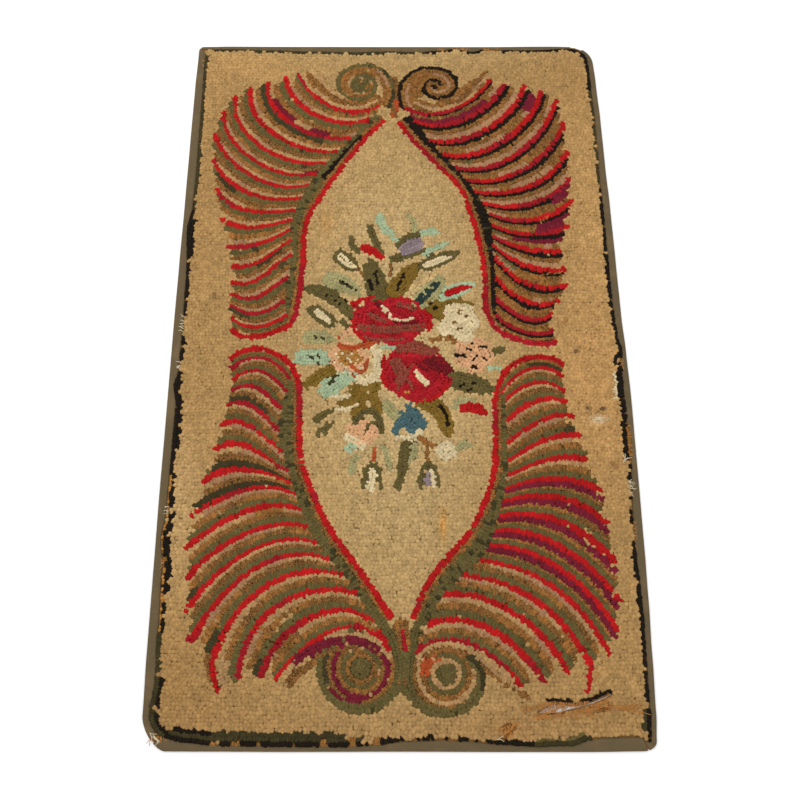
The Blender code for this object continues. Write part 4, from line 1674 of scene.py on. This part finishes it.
@dataclass(frozen=True)
class WeaveFinish:
    """A plain or twill weave of two sets of threads."""

    name: str
    warp: Colour
    weft: Colour
    gap: Colour
    pitch: float
    worn: Colour
    slant: float = 0.0
    map_name: str = ""
    worn_share: float = 0.3
    relief: float = 0.4 * MM
    fibre: float = 0.7 * MM

    def build(self) -> Material:
        """Make the material.

        Returns:
            The material, on Object coordinates or on the piece's own map.
        """
        material, graph, shader, place = new_finish(self.name)
        lines = place
        if self.map_name:
            lines = graph.add("ShaderNodeUVMap", uv_map=self.map_name).outputs[0]
        parts = graph.give_all(graph.add("ShaderNodeSeparateXYZ"), Vector=lines)
        wobble = graph.math("MULTIPLY", graph.math("SUBTRACT", graph.noise(place, 60.0), 0.5),
                            self.pitch * 1.6)
        along = graph.math("ADD", parts["X"], wobble)
        across = graph.math("ADD", graph.math("ADD", parts["Y"], wobble),
                            graph.math("MULTIPLY", parts["X"], self.slant))
        waves = [graph.math("SINE", graph.math("MULTIPLY", way, math.pi / self.pitch))
                 for way in (along, across)]
        over = graph.ramp(graph.math("MULTIPLY", *waves), -0.08, 0.08)
        warp, weft = (graph.math("ABSOLUTE", wave) for wave in waves)
        ridge = graph.math("MAXIMUM", graph.math("MULTIPLY", warp, over),
                           graph.math("MULTIPLY", weft, graph.math("SUBTRACT", 1.0, over)))
        fibres = graph.fibres(place, self.fibre)
        cloth = graph.mix(graph.ramp(ridge, 0.1, 0.5), self.gap, graph.mix(over, self.warp, self.weft))
        worn = graph.math("MULTIPLY", graph.ramp(graph.noise(place, 21.0, 4.0), 0.52, 0.7),
                          self.worn_share)
        speck = graph.math("MULTIPLY", fibres["Flecks"], 0.3)
        height = graph.math("ADD", ridge, graph.math("MULTIPLY", fibres["Height"], 0.5))
        graph.give_all(shader,
                       Base_Color=graph.mix(speck, graph.mix(worn, cloth, self.worn), self.worn),
                       Roughness=graph.ramp(fibres["Height"], 0.3, 0.7, 0.8, 1.0),
                       Normal=graph.bump(height, 0.8, self.relief), Specular_IOR_Level=0.1)
        return material


@dataclass(frozen=True)
class ThreadFinish:
    """Loose threads of jute or cotton."""

    name: str
    colour: Colour
    dark: Colour
    fibre: float = 0.6 * MM

    def build(self) -> Material:
        """Make the material.

        Returns:
            The material.
        """
        material, graph, shader, place = new_finish(self.name)
        fibres = graph.fibres(place, self.fibre)
        graph.give_all(shader, Base_Color=graph.mix(fibres["Flecks"], self.colour, self.dark),
                       Roughness=graph.ramp(fibres["Height"], 0.3, 0.7, 0.75, 0.95),
                       Normal=graph.bump(fibres["Height"], 0.6, 0.2 * MM))
        return material


# --- Meshes ---


def new_piece(name: str, mesh: Mesh) -> Object:
    """An object at the origin with a mesh, in the scene."""
    piece = bpy.data.objects.new(name, mesh)
    bpy.context.scene.collection.objects.link(piece)
    return piece


def nap_height(x: float, y: float) -> float:
    """Height of the pile's top in metres, with the solid's slow waves."""
    slow = math.sin(x * 7.1 + 0.6) * math.cos(y * 5.3 - 0.4)
    return (8.0 + 0.35 * (slow + 0.6 * math.sin(x * 15.7 + y * 9.2))) * MM


@dataclass(frozen=True)
class LoopForm:
    """The form of one loop, a unit wide and a unit tall, as rings from its foot to its crown."""

    name: str
    sides: int
    rings: tuple[tuple[float, float], ...]
    ridge: float = 0.2

    def build(self) -> Object:
        """Make the form's object. The strip's fold is a short ridge across the row.

        Returns:
            The object, which is removed once the loops are made.
        """
        mesh = bpy.data.meshes.new(self.name)
        shape = bmesh.new()
        loops = []
        for radius, height in self.rings:
            loops.append([shape.verts.new((radius * math.cos(2 * math.pi * k / self.sides),
                                           radius * math.sin(2 * math.pi * k / self.sides), height))
                          for k in range(self.sides)])
        crown = [shape.verts.new((0.0, side * self.ridge, 1.0)) for side in (1.0, -1.0)]
        shape.faces.new(list(reversed(loops[0])))
        for lower, upper in zip(loops, loops[1:]):
            for k in range(self.sides):
                j = (k + 1) % self.sides
                shape.faces.new((lower[k], lower[j], upper[j], upper[k]))
        half = self.sides // 2
        for k in range(self.sides):
            shape.faces.new((loops[-1][k], loops[-1][(k + 1) % self.sides], crown[k // half]))
        shape.faces.new((loops[-1][0], *crown))
        shape.faces.new((loops[-1][half], *reversed(crown)))
        for face in shape.faces:
            face.smooth = True
        shape.to_mesh(mesh)
        shape.free()
        return new_piece(self.name, mesh)


def ended(graph: Graph, geometry: NodeSocket, start: Node,
          end: Node) -> NodeTree:
    """End a geometry group: its instances made real, with the finish on them.

    Args:
        graph: the group's graph.
        geometry: what it has made.
        start: its input node, which has the finish.
        end: its output node.

    Returns:
        The group.
    """
    real = graph.give_all(graph.add("GeometryNodeRealizeInstances"), Geometry=geometry)
    done = graph.give_all(graph.add("GeometryNodeSetMaterial"), Geometry=real[0],
                          Material=start.outputs["Finish"])
    graph.give(end.inputs[0], done[0])
    return graph.tree


def loops_tree() -> NodeTree:
    """Geometry Nodes that stand a form on each point and make one mesh of them.

    Returns:
        The tree, with the form, the finish and the forms' swelling as its inputs.
    """
    graph, start, end = new_group(
        "loops_on_points", "Geometry",
        (("Geometry", "Geometry"), ("Form", "Object"), ("Finish", "Material"), ("Swell", "Float")),
        (("Geometry", "Geometry"),))
    form = graph.give_all(graph.add("GeometryNodeObjectInfo"), Object=start.outputs["Form"])
    turn, size = (graph.give_all(
        graph.add("GeometryNodeInputNamedAttribute", data_type="FLOAT_VECTOR"),
        Name=label)["Attribute"] for label in ("turn", "size"))
    swell = start.outputs["Swell"]
    spread = graph.give_all(graph.add("ShaderNodeCombineXYZ"), X=swell, Y=swell, Z=1.0)
    grow = graph.add("ShaderNodeVectorMath", operation="MULTIPLY")
    graph.give(grow.inputs[0], size)
    graph.give(grow.inputs[1], spread[0])
    stand = graph.give_all(
        graph.add("GeometryNodeInstanceOnPoints"), Points=start.outputs["Geometry"],
        Instance=form["Geometry"], Rotation=turn, Scale=grow.outputs[0])
    return ended(graph, stand[0], start, end)


def thread_tree(name: str) -> NodeTree:
    """Geometry Nodes that make lines into round threads.

    Args:
        name: the tree's name.

    Returns:
        The tree, with the threads' thickness and finish as its inputs.
    """
    graph, start, end = new_group(
        name, "Geometry", (("Geometry", "Geometry"), ("Thickness", "Float"), ("Finish", "Material")),
        (("Geometry", "Geometry"),))
    line = graph.add("GeometryNodeMeshToCurve")
    graph.give(line.inputs[0], start.outputs["Geometry"])
    circle = graph.give_all(graph.add("GeometryNodeCurvePrimitiveCircle"), Resolution=4,
                            Radius=start.outputs["Thickness"])
    tube = graph.give_all(graph.add("GeometryNodeCurveToMesh"), Curve=line.outputs[0],
                          Profile_Curve=circle[0], Fill_Caps=True)
    return ended(graph, tube[0], start, end)


def socket_id(tree: NodeTree, name: str) -> str:
    """Identifier of a tree's named input."""
    return next(item.identifier for item in tree.interface.items_tree
                if item.item_type == "SOCKET" and item.in_out == "INPUT" and item.name == name)


def made_plain(piece: Object) -> Mesh:
    """Turn a piece with a Geometry Nodes modifier into one with a plain mesh.

    Args:
        piece: the piece, whose modifiers are removed.

    Returns:
        Its new mesh.
    """
    graph = bpy.context.evaluated_depsgraph_get()
    mesh = bpy.data.meshes.new_from_object(
        piece.evaluated_get(graph), preserve_all_data_layers=True, depsgraph=graph)
    mesh.name = piece.name
    piece.modifiers.clear()
    old = piece.data
    piece.data = mesh
    bpy.data.meshes.remove(old)
    return mesh


def grown(piece: Object, tree: NodeTree, **values: object) -> Mesh:
    """Run a geometry group on a piece and make the result plain.

    Args:
        piece: the piece.
        tree: the group.
        **values: what its named inputs get.

    Returns:
        The piece's new mesh.
    """
    nodes = piece.modifiers.new(tree.name, "NODES")
    nodes.node_group = tree
    for name, value in values.items():
        nodes[socket_id(tree, name)] = value
    return made_plain(piece)


def closed_mesh(name: str, rings: Sequence[Sequence[tuple[float, float, float]]]) -> Mesh:
    """A closed mesh of rings of points.

    Args:
        name: its name.
        rings: the rings, each walled to the next, the first and last with a face over them.

    Returns:
        The mesh, its faces outwards.
    """
    mesh, shape = bpy.data.meshes.new(name), bmesh.new()
    loops = [[shape.verts.new(point) for point in ring] for ring in rings]
    for lower, upper in zip(loops, loops[1:]):
        for i, (vert, above) in enumerate(zip(lower, upper)):
            j = (i + 1) % len(lower)
            shape.faces.new((vert, lower[j], upper[j], above))
    shape.faces.new(list(reversed(loops[0])))
    shape.faces.new(loops[-1])
    bmesh.ops.recalc_face_normals(shape, faces=shape.faces)
    shape.to_mesh(mesh)
    shape.free()
    return mesh


def map_from_above(mesh: Mesh) -> None:
    """Give a mesh of loops its bake map, seen from straight above.

    Args:
        mesh: the mesh.
    """
    count = len(mesh.vertices)
    places = np.empty(count * 3, np.float32)
    mesh.vertices.foreach_get("co", places)
    places = places.reshape(count, 3)[:, :2]
    low, high = places.min(axis=0), places.max(axis=0)
    flat = 0.004 + 0.992 * (places - low) / np.maximum(high - low, 1e-6)
    corners = np.empty(len(mesh.loops), np.int32)
    mesh.loops.foreach_get("vertex_index", corners)
    layer = mesh.uv_layers.new(name="OFBake")
    layer.data.foreach_set("uv", flat[corners].astype(np.float32).ravel())


@dataclass
class Pile:
    """The wool pile: every loop of the bed, as one piece for each group of loops."""

    bed: Bed
    foot: float = 2.3 * MM
    ground_swell: float = 1.52
    ornament_swell: float = 1.42
    form: LoopForm = LoopForm("loop_form", 6, ((0.52, 0.0), (0.46, 0.74)))

    def swell(self, group: str) -> float:
        """How far a group's loops press into each other."""
        return self.ground_swell if group.startswith("pile_ground") else self.ornament_swell

    def colour(self, loop: Loop) -> tuple[float, float, float, float]:
        """A loop's own colour: its dye, with the cloth's changes of shade, its stains and the painted
        shadow along the tear's upper lip.

        Args:
            loop: the loop.

        Returns:
            The colour's linear values.
        """
        base = linear(*loop.dye.value)
        place = Vector((loop.x / 55.0, loop.y / 55.0, 3.0))
        drift = 1.0 + 0.07 * noise.noise(place) + 0.05 * noise.noise(place * 4.1)
        # oat loops take the ground's stains and fades, and the painted shadow along the tear
        if loop.dye is Dye.OAT:
            for stain_or_shade in STAINS_AND_SHADE:
                base = mixed(base, stain_or_shade.tint, min(1.0, stain_or_shade.weight(loop.x, loop.y)))
        mottle = MOTTLE.get(loop.dye, PLAIN_MOTTLE)
        shade = loop.shade * drift * (1.0 + mottle * noise.cell(Vector((loop.x, loop.y, 0.0)) * 7.3))
        return tuple(min(1.0, part * shade) for part in base) + (1.0,)

    def points(self, name: str, loops: Sequence[Loop]) -> Mesh:
        """A mesh of points, each with its loop's turn, size, dye and flecks.

        Args:
            name: name of the mesh.
            loops: the group's loops.

        Returns:
            The mesh.
        """
        dice = random.Random(SEED + len(loops))
        places, turns, sizes, dyes, flecks = [], [], [], [], []
        for loop in loops:
            x, y = (loop.x + OUTLINE_SHIFT) * MM, loop.y * MM
            top = nap_height(x, y) * loop.tall + dice.uniform(-0.7, 0.5) * MM
            places.append((x, y, self.foot))
            turns.append((dice.uniform(-0.16, 0.16), dice.uniform(-0.16, 0.16), loop.turn))
            sizes.append((loop.long * MM, loop.wide * MM, top - self.foot))
            dyes.append(self.colour(loop))
            flecks.append(FLECKS.get(loop.dye, PLAIN_FLECKS))
        mesh = bpy.data.meshes.new(name)
        mesh.from_pydata(places, [], [])
        for label, kind, key, values in (
                ("turn", "FLOAT_VECTOR", "vector", turns), ("size", "FLOAT_VECTOR", "vector", sizes),
                ("dye", "FLOAT_COLOR", "color", dyes), ("fleck", "FLOAT", "value", flecks)):
            layer = mesh.attributes.new(label, kind, "POINT")
            layer.data.foreach_set(key, np.array(values, np.float32).ravel())
        return mesh

    def build(self, finish: Material) -> list[Object]:
        """Make the pieces.

        Args:
            finish: the wool.

        Returns:
            One piece for each group.
        """
        tree = loops_tree()
        form = self.form.build()
        groups: dict[str, list[Loop]] = {}
        for loop in self.bed.loops:
            groups.setdefault(loop.group, []).append(loop)
        pieces = []
        for name, loops in sorted(groups.items()):
            piece = new_piece(name, self.points(name, loops))
            mesh = grown(piece, tree, Form=form, Finish=finish, Swell=self.swell(name))
            for label in ("turn", "size"):
                layer = mesh.attributes.get(label)
                if layer:
                    mesh.attributes.remove(layer)
            map_from_above(mesh)
            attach(piece, "root")
            pieces.append(piece)
            LOG.info("%s: %d loops, %d faces", name, len(loops), len(mesh.polygons))
        bpy.data.objects.remove(form, do_unlink=True)
        return pieces


@dataclass(frozen=True)
class Foundation:
    """The jute cloth that the loops are hooked through, with its hem under the tape."""

    bottom: float = 1.3 * MM
    top: float = 2.6 * MM
    hem_inset: float = 2.1 * MM
    base_inset: float = 18.2 * MM
    rings: tuple[float, ...] = (0.030, 0.060, 0.100, 0.160, 0.230, 0.310, 0.380)
    pitch: float = 0.020

    def build(self, finish: Material) -> Object:
        """Make the cloth, cut by the tear.

        Args:
            finish: the jute weave.

        Returns:
            The piece.
        """
        places = RIM.places(self.pitch)[:-1]
        levels = [(inset, 0.0) for inset in (0.30, 0.20, 0.10, self.base_inset)]
        levels += [(self.base_inset, self.bottom), (self.hem_inset, self.bottom)]
        levels += [(inset, self.top) for inset in (self.hem_inset, *self.rings)]
        mesh = closed_mesh("foundation_cloth", [[(*RIM.point(walk, inset), height) for walk in places]
                                                for inset, height in levels])
        mesh.materials.append(finish)
        cloth = new_piece("foundation_cloth", mesh)
        cutter = self.tear_cutter()
        cut = cloth.modifiers.new("tear", "BOOLEAN")
        cut.operation, cut.solver, cut.object = "DIFFERENCE", "EXACT", cutter
        made_plain(cloth)
        bpy.data.objects.remove(cutter, do_unlink=True)
        return cloth

    def tear_cutter(self) -> Object:
        """The tear's space, as a prism."""
        outline = [((x + OUTLINE_SHIFT) * MM, (y + half) * MM) for x, y, half in TEAR]
        outline += [((x + OUTLINE_SHIFT) * MM, (y - half) * MM) for x, y, half in reversed(TEAR)]
        return new_piece("tear", closed_mesh(
            "tear", [[(x, y, height) for x, y in outline] for height in (-0.02, 0.02)]))


@dataclass(frozen=True)
class Tape:
    """One length of binding tape, folded over the hem and sewn down on both sides."""

    name: str
    node: str
    first: float
    last: float
    thickness: float = 1.0 * MM
    top: float = 3.9 * MM
    under: float = 17.5 * MM
    fold: float = 1.6 * MM
    cut_width: float = 0.038
    pitch: float = 0.006

    def section(self, walk: float) -> list[tuple[float, float]]:
        """The tape's outer skin at a place: inset and height of each point.

        Args:
            walk: the place on the walk.

        Returns:
            The points, from the cut edge under the rug to the one on top.
        """
        wide = RIM.tape_width(walk)
        ripple = noise.noise(Vector((walk * 31.0, 0.0, 1.0))) * 0.5 * MM
        pucker = noise.noise(Vector((walk * 90.0, 4.0, 1.0))) * 0.22 * MM
        points = [(self.under, 0.0), (self.under * 0.5, 0.0), (self.fold, 0.0),
                  (0.3 * MM, self.top * 0.22), (0.0, self.top * 0.5), (0.3 * MM, self.top * 0.78),
                  (self.fold, self.top)]
        steps = 5
        for k in range(1, steps + 1):
            part = k / steps
            crown = math.sin(part * math.pi) * (0.25 * MM + pucker)
            dip = -0.25 * MM if k == steps else 0.0
            points.append((self.fold + (wide + ripple * part - self.fold) * part,
                           self.top + crown + dip))
        return points

    def build(self, finish: Material) -> Object:
        """Make the tape with its own map for the weave.

        Args:
            finish: the tape's cloth.

        Returns:
            The piece.
        """
        mesh = bpy.data.meshes.new(self.name)
        shape = bmesh.new()
        weave = shape.loops.layers.uv.new("weave")
        rows, travelled, before = [], 0.0, None
        places = RIM.places(self.pitch, self.first, self.last)
        for walk in places:
            corner = Vector((*RIM.point(walk, 0.0), 0.0))
            travelled += (corner - before).length if before else 0.0
            before = corner
            row, across = [], 0.0
            last = None
            for inset, height in self.section(walk):
                point = Vector((*RIM.point(walk, inset), height))
                across += (point - last).length if last else 0.0
                last = point
                row.append((shape.verts.new(point), (travelled, across)))
            rows.append(row)
        for row, following in zip(rows, rows[1:]):
            for k in range(len(row) - 1):
                ring = (row[k], following[k], following[k + 1], row[k + 1])
                face = shape.faces.new([vert for vert, _ in ring])
                face.smooth = True
                for loop, (_, place) in zip(face.loops, ring):
                    loop[weave].uv = place
        shape.to_mesh(mesh)
        shape.free()
        mesh.materials.append(finish)
        tape = new_piece(self.name, mesh)
        wall = tape.modifiers.new("cloth thickness", "SOLIDIFY")
        wall.thickness, wall.offset, wall.use_even_offset = self.thickness, -1.0, True
        made_plain(tape)
        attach(tape, "root")
        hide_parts(self.node)
        LOG.info("%s: %.0f mm long, %d faces", self.name, travelled / MM, len(tape.data.polygons))
        return tape


@dataclass(frozen=True)
class Fringe:
    """Loose threads along a short line: how many, how long, which way they lie and how high."""

    start: Point
    end: Point
    count: int
    long: float
    angle: float
    low: float = 3.2
    high: float = 8.8
    cotton: bool = False


FRINGES = tuple(Fringe(*row) for row in (
    # the tear's upper and lower lips, and the slit that runs on from it
    ((262, -680), (338, -678), 34, 13, -90, 5, 6.5),
    ((236, -706), (262, -700), 10, 24, 10, 6, 8.8),
    ((258, -706), (345, -700), 18, 24, 8, 5, 8.8),
    ((262, -702), (330, -698), 16, 10, 95, 3.5, 5),
    ((330, -692), (385, -678), 16, 18, 14, 6, 8.8),
    ((340, -686), (380, -670), 14, 9, -80, 4, 8),
    ((230, -711), (244, -708), 6, 66, 5, 4.5, 8.8),
    ((300, -701), (334, -697), 7, 60, 7, 4.5, 8.8),
    ((352, -690), (374, -688), 5, 74, -4, 6, 8.8),
    ((396, -692), (420, -693), 6, 42, -9, 6, 8.8),
    ((256, -682), (340, -680), 40, 11, -90, 5.5, 8.2),
    ((262, -697), (300, -694), 12, 16, 60, 2.6, 5),
    ((330, -700), (430, -690), 20, 12, 60, 7.2, 9.2),
    ((222, -700), (262, -690), 18, 12, 110, 7.2, 9.2),
    # the bald patch
    ((176, -744), (208, -718), 26, 13, 60, 3.2, 7),
    ((182, -722), (204, -736), 22, 14, -150, 3.2, 7.4),
    ((186, -722), (204, -718), 9, 12, -70, 3.4, 5.5),
    ((188, -734), (200, -724), 8, 13, 35, 3.4, 6),
    ((172, -744), (184, -746), 2, 16, 20, 8, 9, True),
    # worn places beside the tape
    ((450, -230), (450, -160), 40, 11, 0, 3, 5.2),
    ((450, -36), (450, -12), 14, 11, 0, 3, 5.2),
    ((447, -400), (447, -352), 18, 9, 0, 3, 5),
    ((446, -298), (446, -270), 10, 14, -20, 4, 8.6, True),
    ((440, -236), (444, -228), 5, 14, 30, 6, 8.8, True),
    ((-442, -440), (-442, -418), 10, 9, 180, 3, 5),
    ((-442, -340), (-442, -322), 8, 9, 180, 3, 5, True),
    ((-440, -40), (-440, -22), 8, 10, 180, 3, 5.4, True),
    ((-440, 42), (-440, 78), 12, 10, 180, 3, 5.4, True),
    ((95, 750), (111, 750), 9, 11, 90, 3, 5),
    ((131, 753), (175, 753), 22, 9, 90, 3, 5),
    ((201, 751), (237, 751), 18, 9, 90, 3, 5),
    ((-442, -742), (-420, -736), 12, 13, -100, 3.2, 5.4),
    ((-444, -732), (-424, -748), 9, 16, -40, 5, 8.6, True),
    ((-338, -746), (-322, -746), 9, 9, -90, 3, 5),
    ((-300, -747), (-280, -747), 10, 9, -90, 3, 5),
    ((-142, -744), (-128, -744), 8, 9, -90, 3, 5),
    ((-92, -740), (-78, -740), 8, 9, -90, 3, 5),
    ((-48, -740), (-32, -740), 8, 9, -90, 3, 5),
    # broken loops at the tips of the right-hand plumes, and stray ends on the ground
    ((300, 168), (345, 176), 12, 9, 40, 7, 9.4),
    ((310, 292), (330, 312), 8, 10, 120, 7, 9.4),
    ((350, 226), (384, 240), 8, 11, 20, 7, 9.4),
    ((330, 50), (352, 66), 8, 9, 70, 7, 9.4),
    ((372, 368), (392, 384), 6, 9, 30, 7, 9.4),
    ((82, -380), (90, -338), 9, 11, 70, 7.2, 9.2),
    ((390, -150), (414, -144), 9, 10, 10, 7.2, 9.2, True),
    ((356, -640), (372, -618), 8, 9, 200, 7.2, 9.2),
    ((-380, 338), (-396, 392), 9, 9, 160, 7.2, 9.2),
    ((-440, 700), (-440, 720), 4, 9, 150, 7, 9),
))


@dataclass(frozen=True)
class Fray:
    """Every loose thread of one kind, as one piece."""

    name: str
    cotton: bool
    thick: float = 0.5 * MM

    def strand(self, fringe: Fringe, dice: random.Random) -> list[tuple[float, float, float]]:
        """One thread of a fringe: it leaves the cloth, arches over and lies down.

        Args:
            fringe: the fringe.
            dice: where its random values come from.

        Returns:
            The thread's points.
        """
        t = dice.random()
        x = fringe.start[0] + (fringe.end[0] - fringe.start[0]) * t + dice.uniform(-0.8, 0.8)
        y = fringe.start[1] + (fringe.end[1] - fringe.start[1]) * t + dice.uniform(-0.8, 0.8)
        turn = math.radians(fringe.angle + dice.gauss(0.0, 5.0 if fringe.long > 30 else 18.0))
        bend = dice.gauss(0.0, 0.15 if fringe.long > 30 else 0.6)
        step = fringe.long * dice.uniform(0.6, 1.15) / 5
        rise = fringe.high * dice.uniform(0.9, 1.04) - fringe.low
        points = []
        for k in range(6):
            arch = math.sin(math.pi * (0.15 + 0.7 * k / 5))
            points.append(((x + OUTLINE_SHIFT) * MM, y * MM, (fringe.low + rise * arch) * MM))
            turn += bend / 5 + dice.uniform(-0.12, 0.12)
            x, y = x + step * math.cos(turn), y + step * math.sin(turn)
        return points

    def build(self, finish: Material) -> Object:
        """Make the threads.

        Args:
            finish: their finish.

        Returns:
            The piece.
        """
        dice = random.Random(SEED + 7 * self.cotton)
        places, lines = [], []
        for fringe in FRINGES:
            if fringe.cotton is not self.cotton:
                continue
            for _ in range(fringe.count):
                first = len(places)
                places += self.strand(fringe, dice)
                lines += [(k, k + 1) for k in range(first, len(places) - 1)]
        mesh = bpy.data.meshes.new(self.name)
        mesh.from_pydata(places, lines, [])
        piece = new_piece(self.name, mesh)
        grown(piece, thread_tree(self.name), Thickness=self.thick, Finish=finish)
        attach(piece, "root")
        LOG.info("%s: %d faces", self.name, len(piece.data.polygons))
        return piece


TAPES = (
    Tape("tape_bottom", "binding_bottom", 7.62, 9.22),
    Tape("tape_right", "binding_right", 1.30, 3.64),
    Tape("tape_top", "binding_top", 4.00, 5.40),
    Tape("tape_left", "binding_left", 5.50, 7.54),
)


# --- Stage, light and camera ---


@dataclass(frozen=True)
class Studio:
    """A pale floor, soft light from above and the camera at the photographed angle."""

    lens: float = 41.379
    tilt: float = 19.5268
    place: tuple[float, float, float] = (-0.0346, -0.7219, 1.7406)
    shift: float = 0.0225

    def floor(self) -> None:
        """A plain floor that reaches past the view."""
        mesh = bpy.data.meshes.new("floor")
        mesh.from_pydata([(-6, -6, 0), (6, -6, 0), (6, 6, 0), (-6, 6, 0)], [], [(0, 1, 2, 3)])
        material = bpy.data.materials.new("floor")
        material.use_nodes = True
        shader = material.node_tree.nodes["Principled BSDF"]
        shader.inputs["Base Color"].default_value = (0.93, 0.93, 0.93, 1.0)
        shader.inputs["Roughness"].default_value = 0.9
        mesh.materials.append(material)
        piece = new_piece("floor", mesh)

    def light(self, name: str, place: Point, power: float, size: float, aim: Point) -> None:
        """A square lamp that looks at a point of the floor.

        Args:
            name: its name.
            place: where it is.
            power: its power in watts.
            size: its width.
            aim: the point.
        """
        data = bpy.data.lights.new(name, "AREA")
        data.energy, data.size = power, size
        lamp = bpy.data.objects.new(name, data)
        lamp.location = place
        lamp.rotation_euler = (Vector(aim) - Vector(place)).to_track_quat("-Z", "Y").to_euler()
        bpy.context.scene.collection.objects.link(lamp)

    def build(self) -> None:
        """Make the floor, the lights and the camera."""
        self.floor()
        world = bpy.data.worlds.new("studio")
        world.use_nodes = True
        sky = world.node_tree.nodes["Background"]
        sky.inputs["Color"].default_value = (1.0, 1.0, 1.0, 1.0)
        sky.inputs["Strength"].default_value = 0.80
        bpy.context.scene.world = world
        self.light("key_light", (-1.3, 1.1, 2.4), 40.0, 1.8, (0.0, 0.0, 0.0))
        self.light("fill_light", (1.8, -1.0, 2.6), 16.0, 2.2, (0.0, 0.0, 0.0))
        data = bpy.data.cameras.new("camera")
        data.lens, data.sensor_width, data.sensor_fit = self.lens, 36.0, "HORIZONTAL"
        data.shift_x = self.shift
        camera = bpy.data.objects.new("camera", data)
        camera.location = self.place
        camera.rotation_euler = (math.radians(self.tilt), 0.0, 0.0)
        bpy.context.scene.collection.objects.link(camera)
        bpy.context.scene.camera = camera
        bpy.context.scene.view_settings.view_transform = "Standard"


# --- The rug ---


@dataclass
class HookedRug:
    """The whole rug: where its loops stand, its foundation and its tape."""

    bed: Bed = field(default_factory=Bed)

    def hook_edges(self) -> None:
        """Hook the dark rows beside the tape."""
        for run in EDGE_RUNS:
            if run.side not in SIDES:
                first, last = run.side + run.start, run.side + run.end
            else:
                first, last = RIM.walk_at(run.side, run.start), RIM.walk_at(run.side, run.end)
            first, last = min(first, last), max(first, last)
            path = []
            for walk in RIM.places(0.006, first, last):
                inset = RIM.tape_width(walk) + (CLEARANCE + HALF_ROW + run.depth) * MM
                x, y = RIM.point(walk, inset)
                path.append((x / MM - OUTLINE_SHIFT, y / MM))
            self.bed.row(path, run.dye, "pile_edge_rows", 6.0, run.wide, 0.55, run.gaps,
                         tall=0.92)

    def hook_rows(self, table: Sequence[tuple[str, Sequence[Stroke]]]) -> None:
        """Hook strokes that are given with the piece they belong to."""
        for piece, rows in table:
            for stroke in rows:
                stroke.hook(self.bed, piece)

    def lay_out(self) -> None:
        """Stand every loop."""
        self.bed.bare += [in_tear, in_bald_patch, in_worn_spot]
        self.hook_edges()
        self.hook_rows(SCROLLS)
        for plume in PLUMES:
            plume.hook(self.bed)
        self.hook_rows(FILLS)
        for motif in BOUQUET:
            motif.hook(self.bed, "pile_bouquet")
        self.hook_between_volutes()
        ground = Ground()
        edge = ground.edge()
        ground.fill(self.bed, edge, enclosed=True)
        ground.hook(self.bed, edge)
        ground.fill(self.bed, edge, enclosed=False)
        LOG.info("%d loops in all", len(self.bed.loops))

    def hook_between_volutes(self) -> None:
        """Hook the upright tweed rows between each pair of volutes."""
        for x in (-8, 1):
            self.bed.row([(x, 676), (x, 566)], Dye.BROWN, "pile_plume_top_left", LONG, WIDE,
                         blend=((Dye.RUST, 0.15), (Dye.TWEED, 0.4)))
        for x in (-5, 4, 11):
            self.bed.row([(x, -538), (x + 8, -590), (x + 6, -650)], Dye.BROWN,
                         "pile_plume_bottom_left", LONG, WIDE,
                         blend=((Dye.TWEED, 0.4), (Dye.CRIMSON, 0.08)))

    def build(self) -> None:
        """Make every piece."""
        self.lay_out()
        jute = WeaveFinish("jute_foundation", linear(160, 114, 58), linear(138, 94, 44),
                           linear(84, 56, 28), 1.9 * MM, worn=linear(132, 92, 48)).build()
        cloth = Foundation().build(jute)
        pile = Pile(self.bed).build(WoolFinish().build())
        pile.append(Fray("jute_threads", False).build(
            ThreadFinish("jute_thread", linear(196, 134, 62), linear(130, 82, 36)).build()))
        pile.append(Fray("cotton_threads", True).build(
            ThreadFinish("cotton_thread", linear(226, 214, 184), linear(176, 160, 126)).build()))
        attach(cloth, "root")
        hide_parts("hooked_panel")
        twill = WeaveFinish("binding_tape", linear(112, 95, 68), linear(96, 83, 60),
                            linear(48, 40, 28), 1.1 * MM, slant=0.5, map_name="weave",
                            worn=linear(128, 106, 74), worn_share=0.4, relief=0.25 * MM).build()
        for tape in TAPES:
            tape.build(twill)


def main() -> None:
    """Build the studio and the rug."""
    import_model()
    Studio().build()
    HookedRug().build()


if __name__ == "__main__":
    logging.basicConfig(level=logging.INFO, format="%(name)s: %(message)s")
    main()
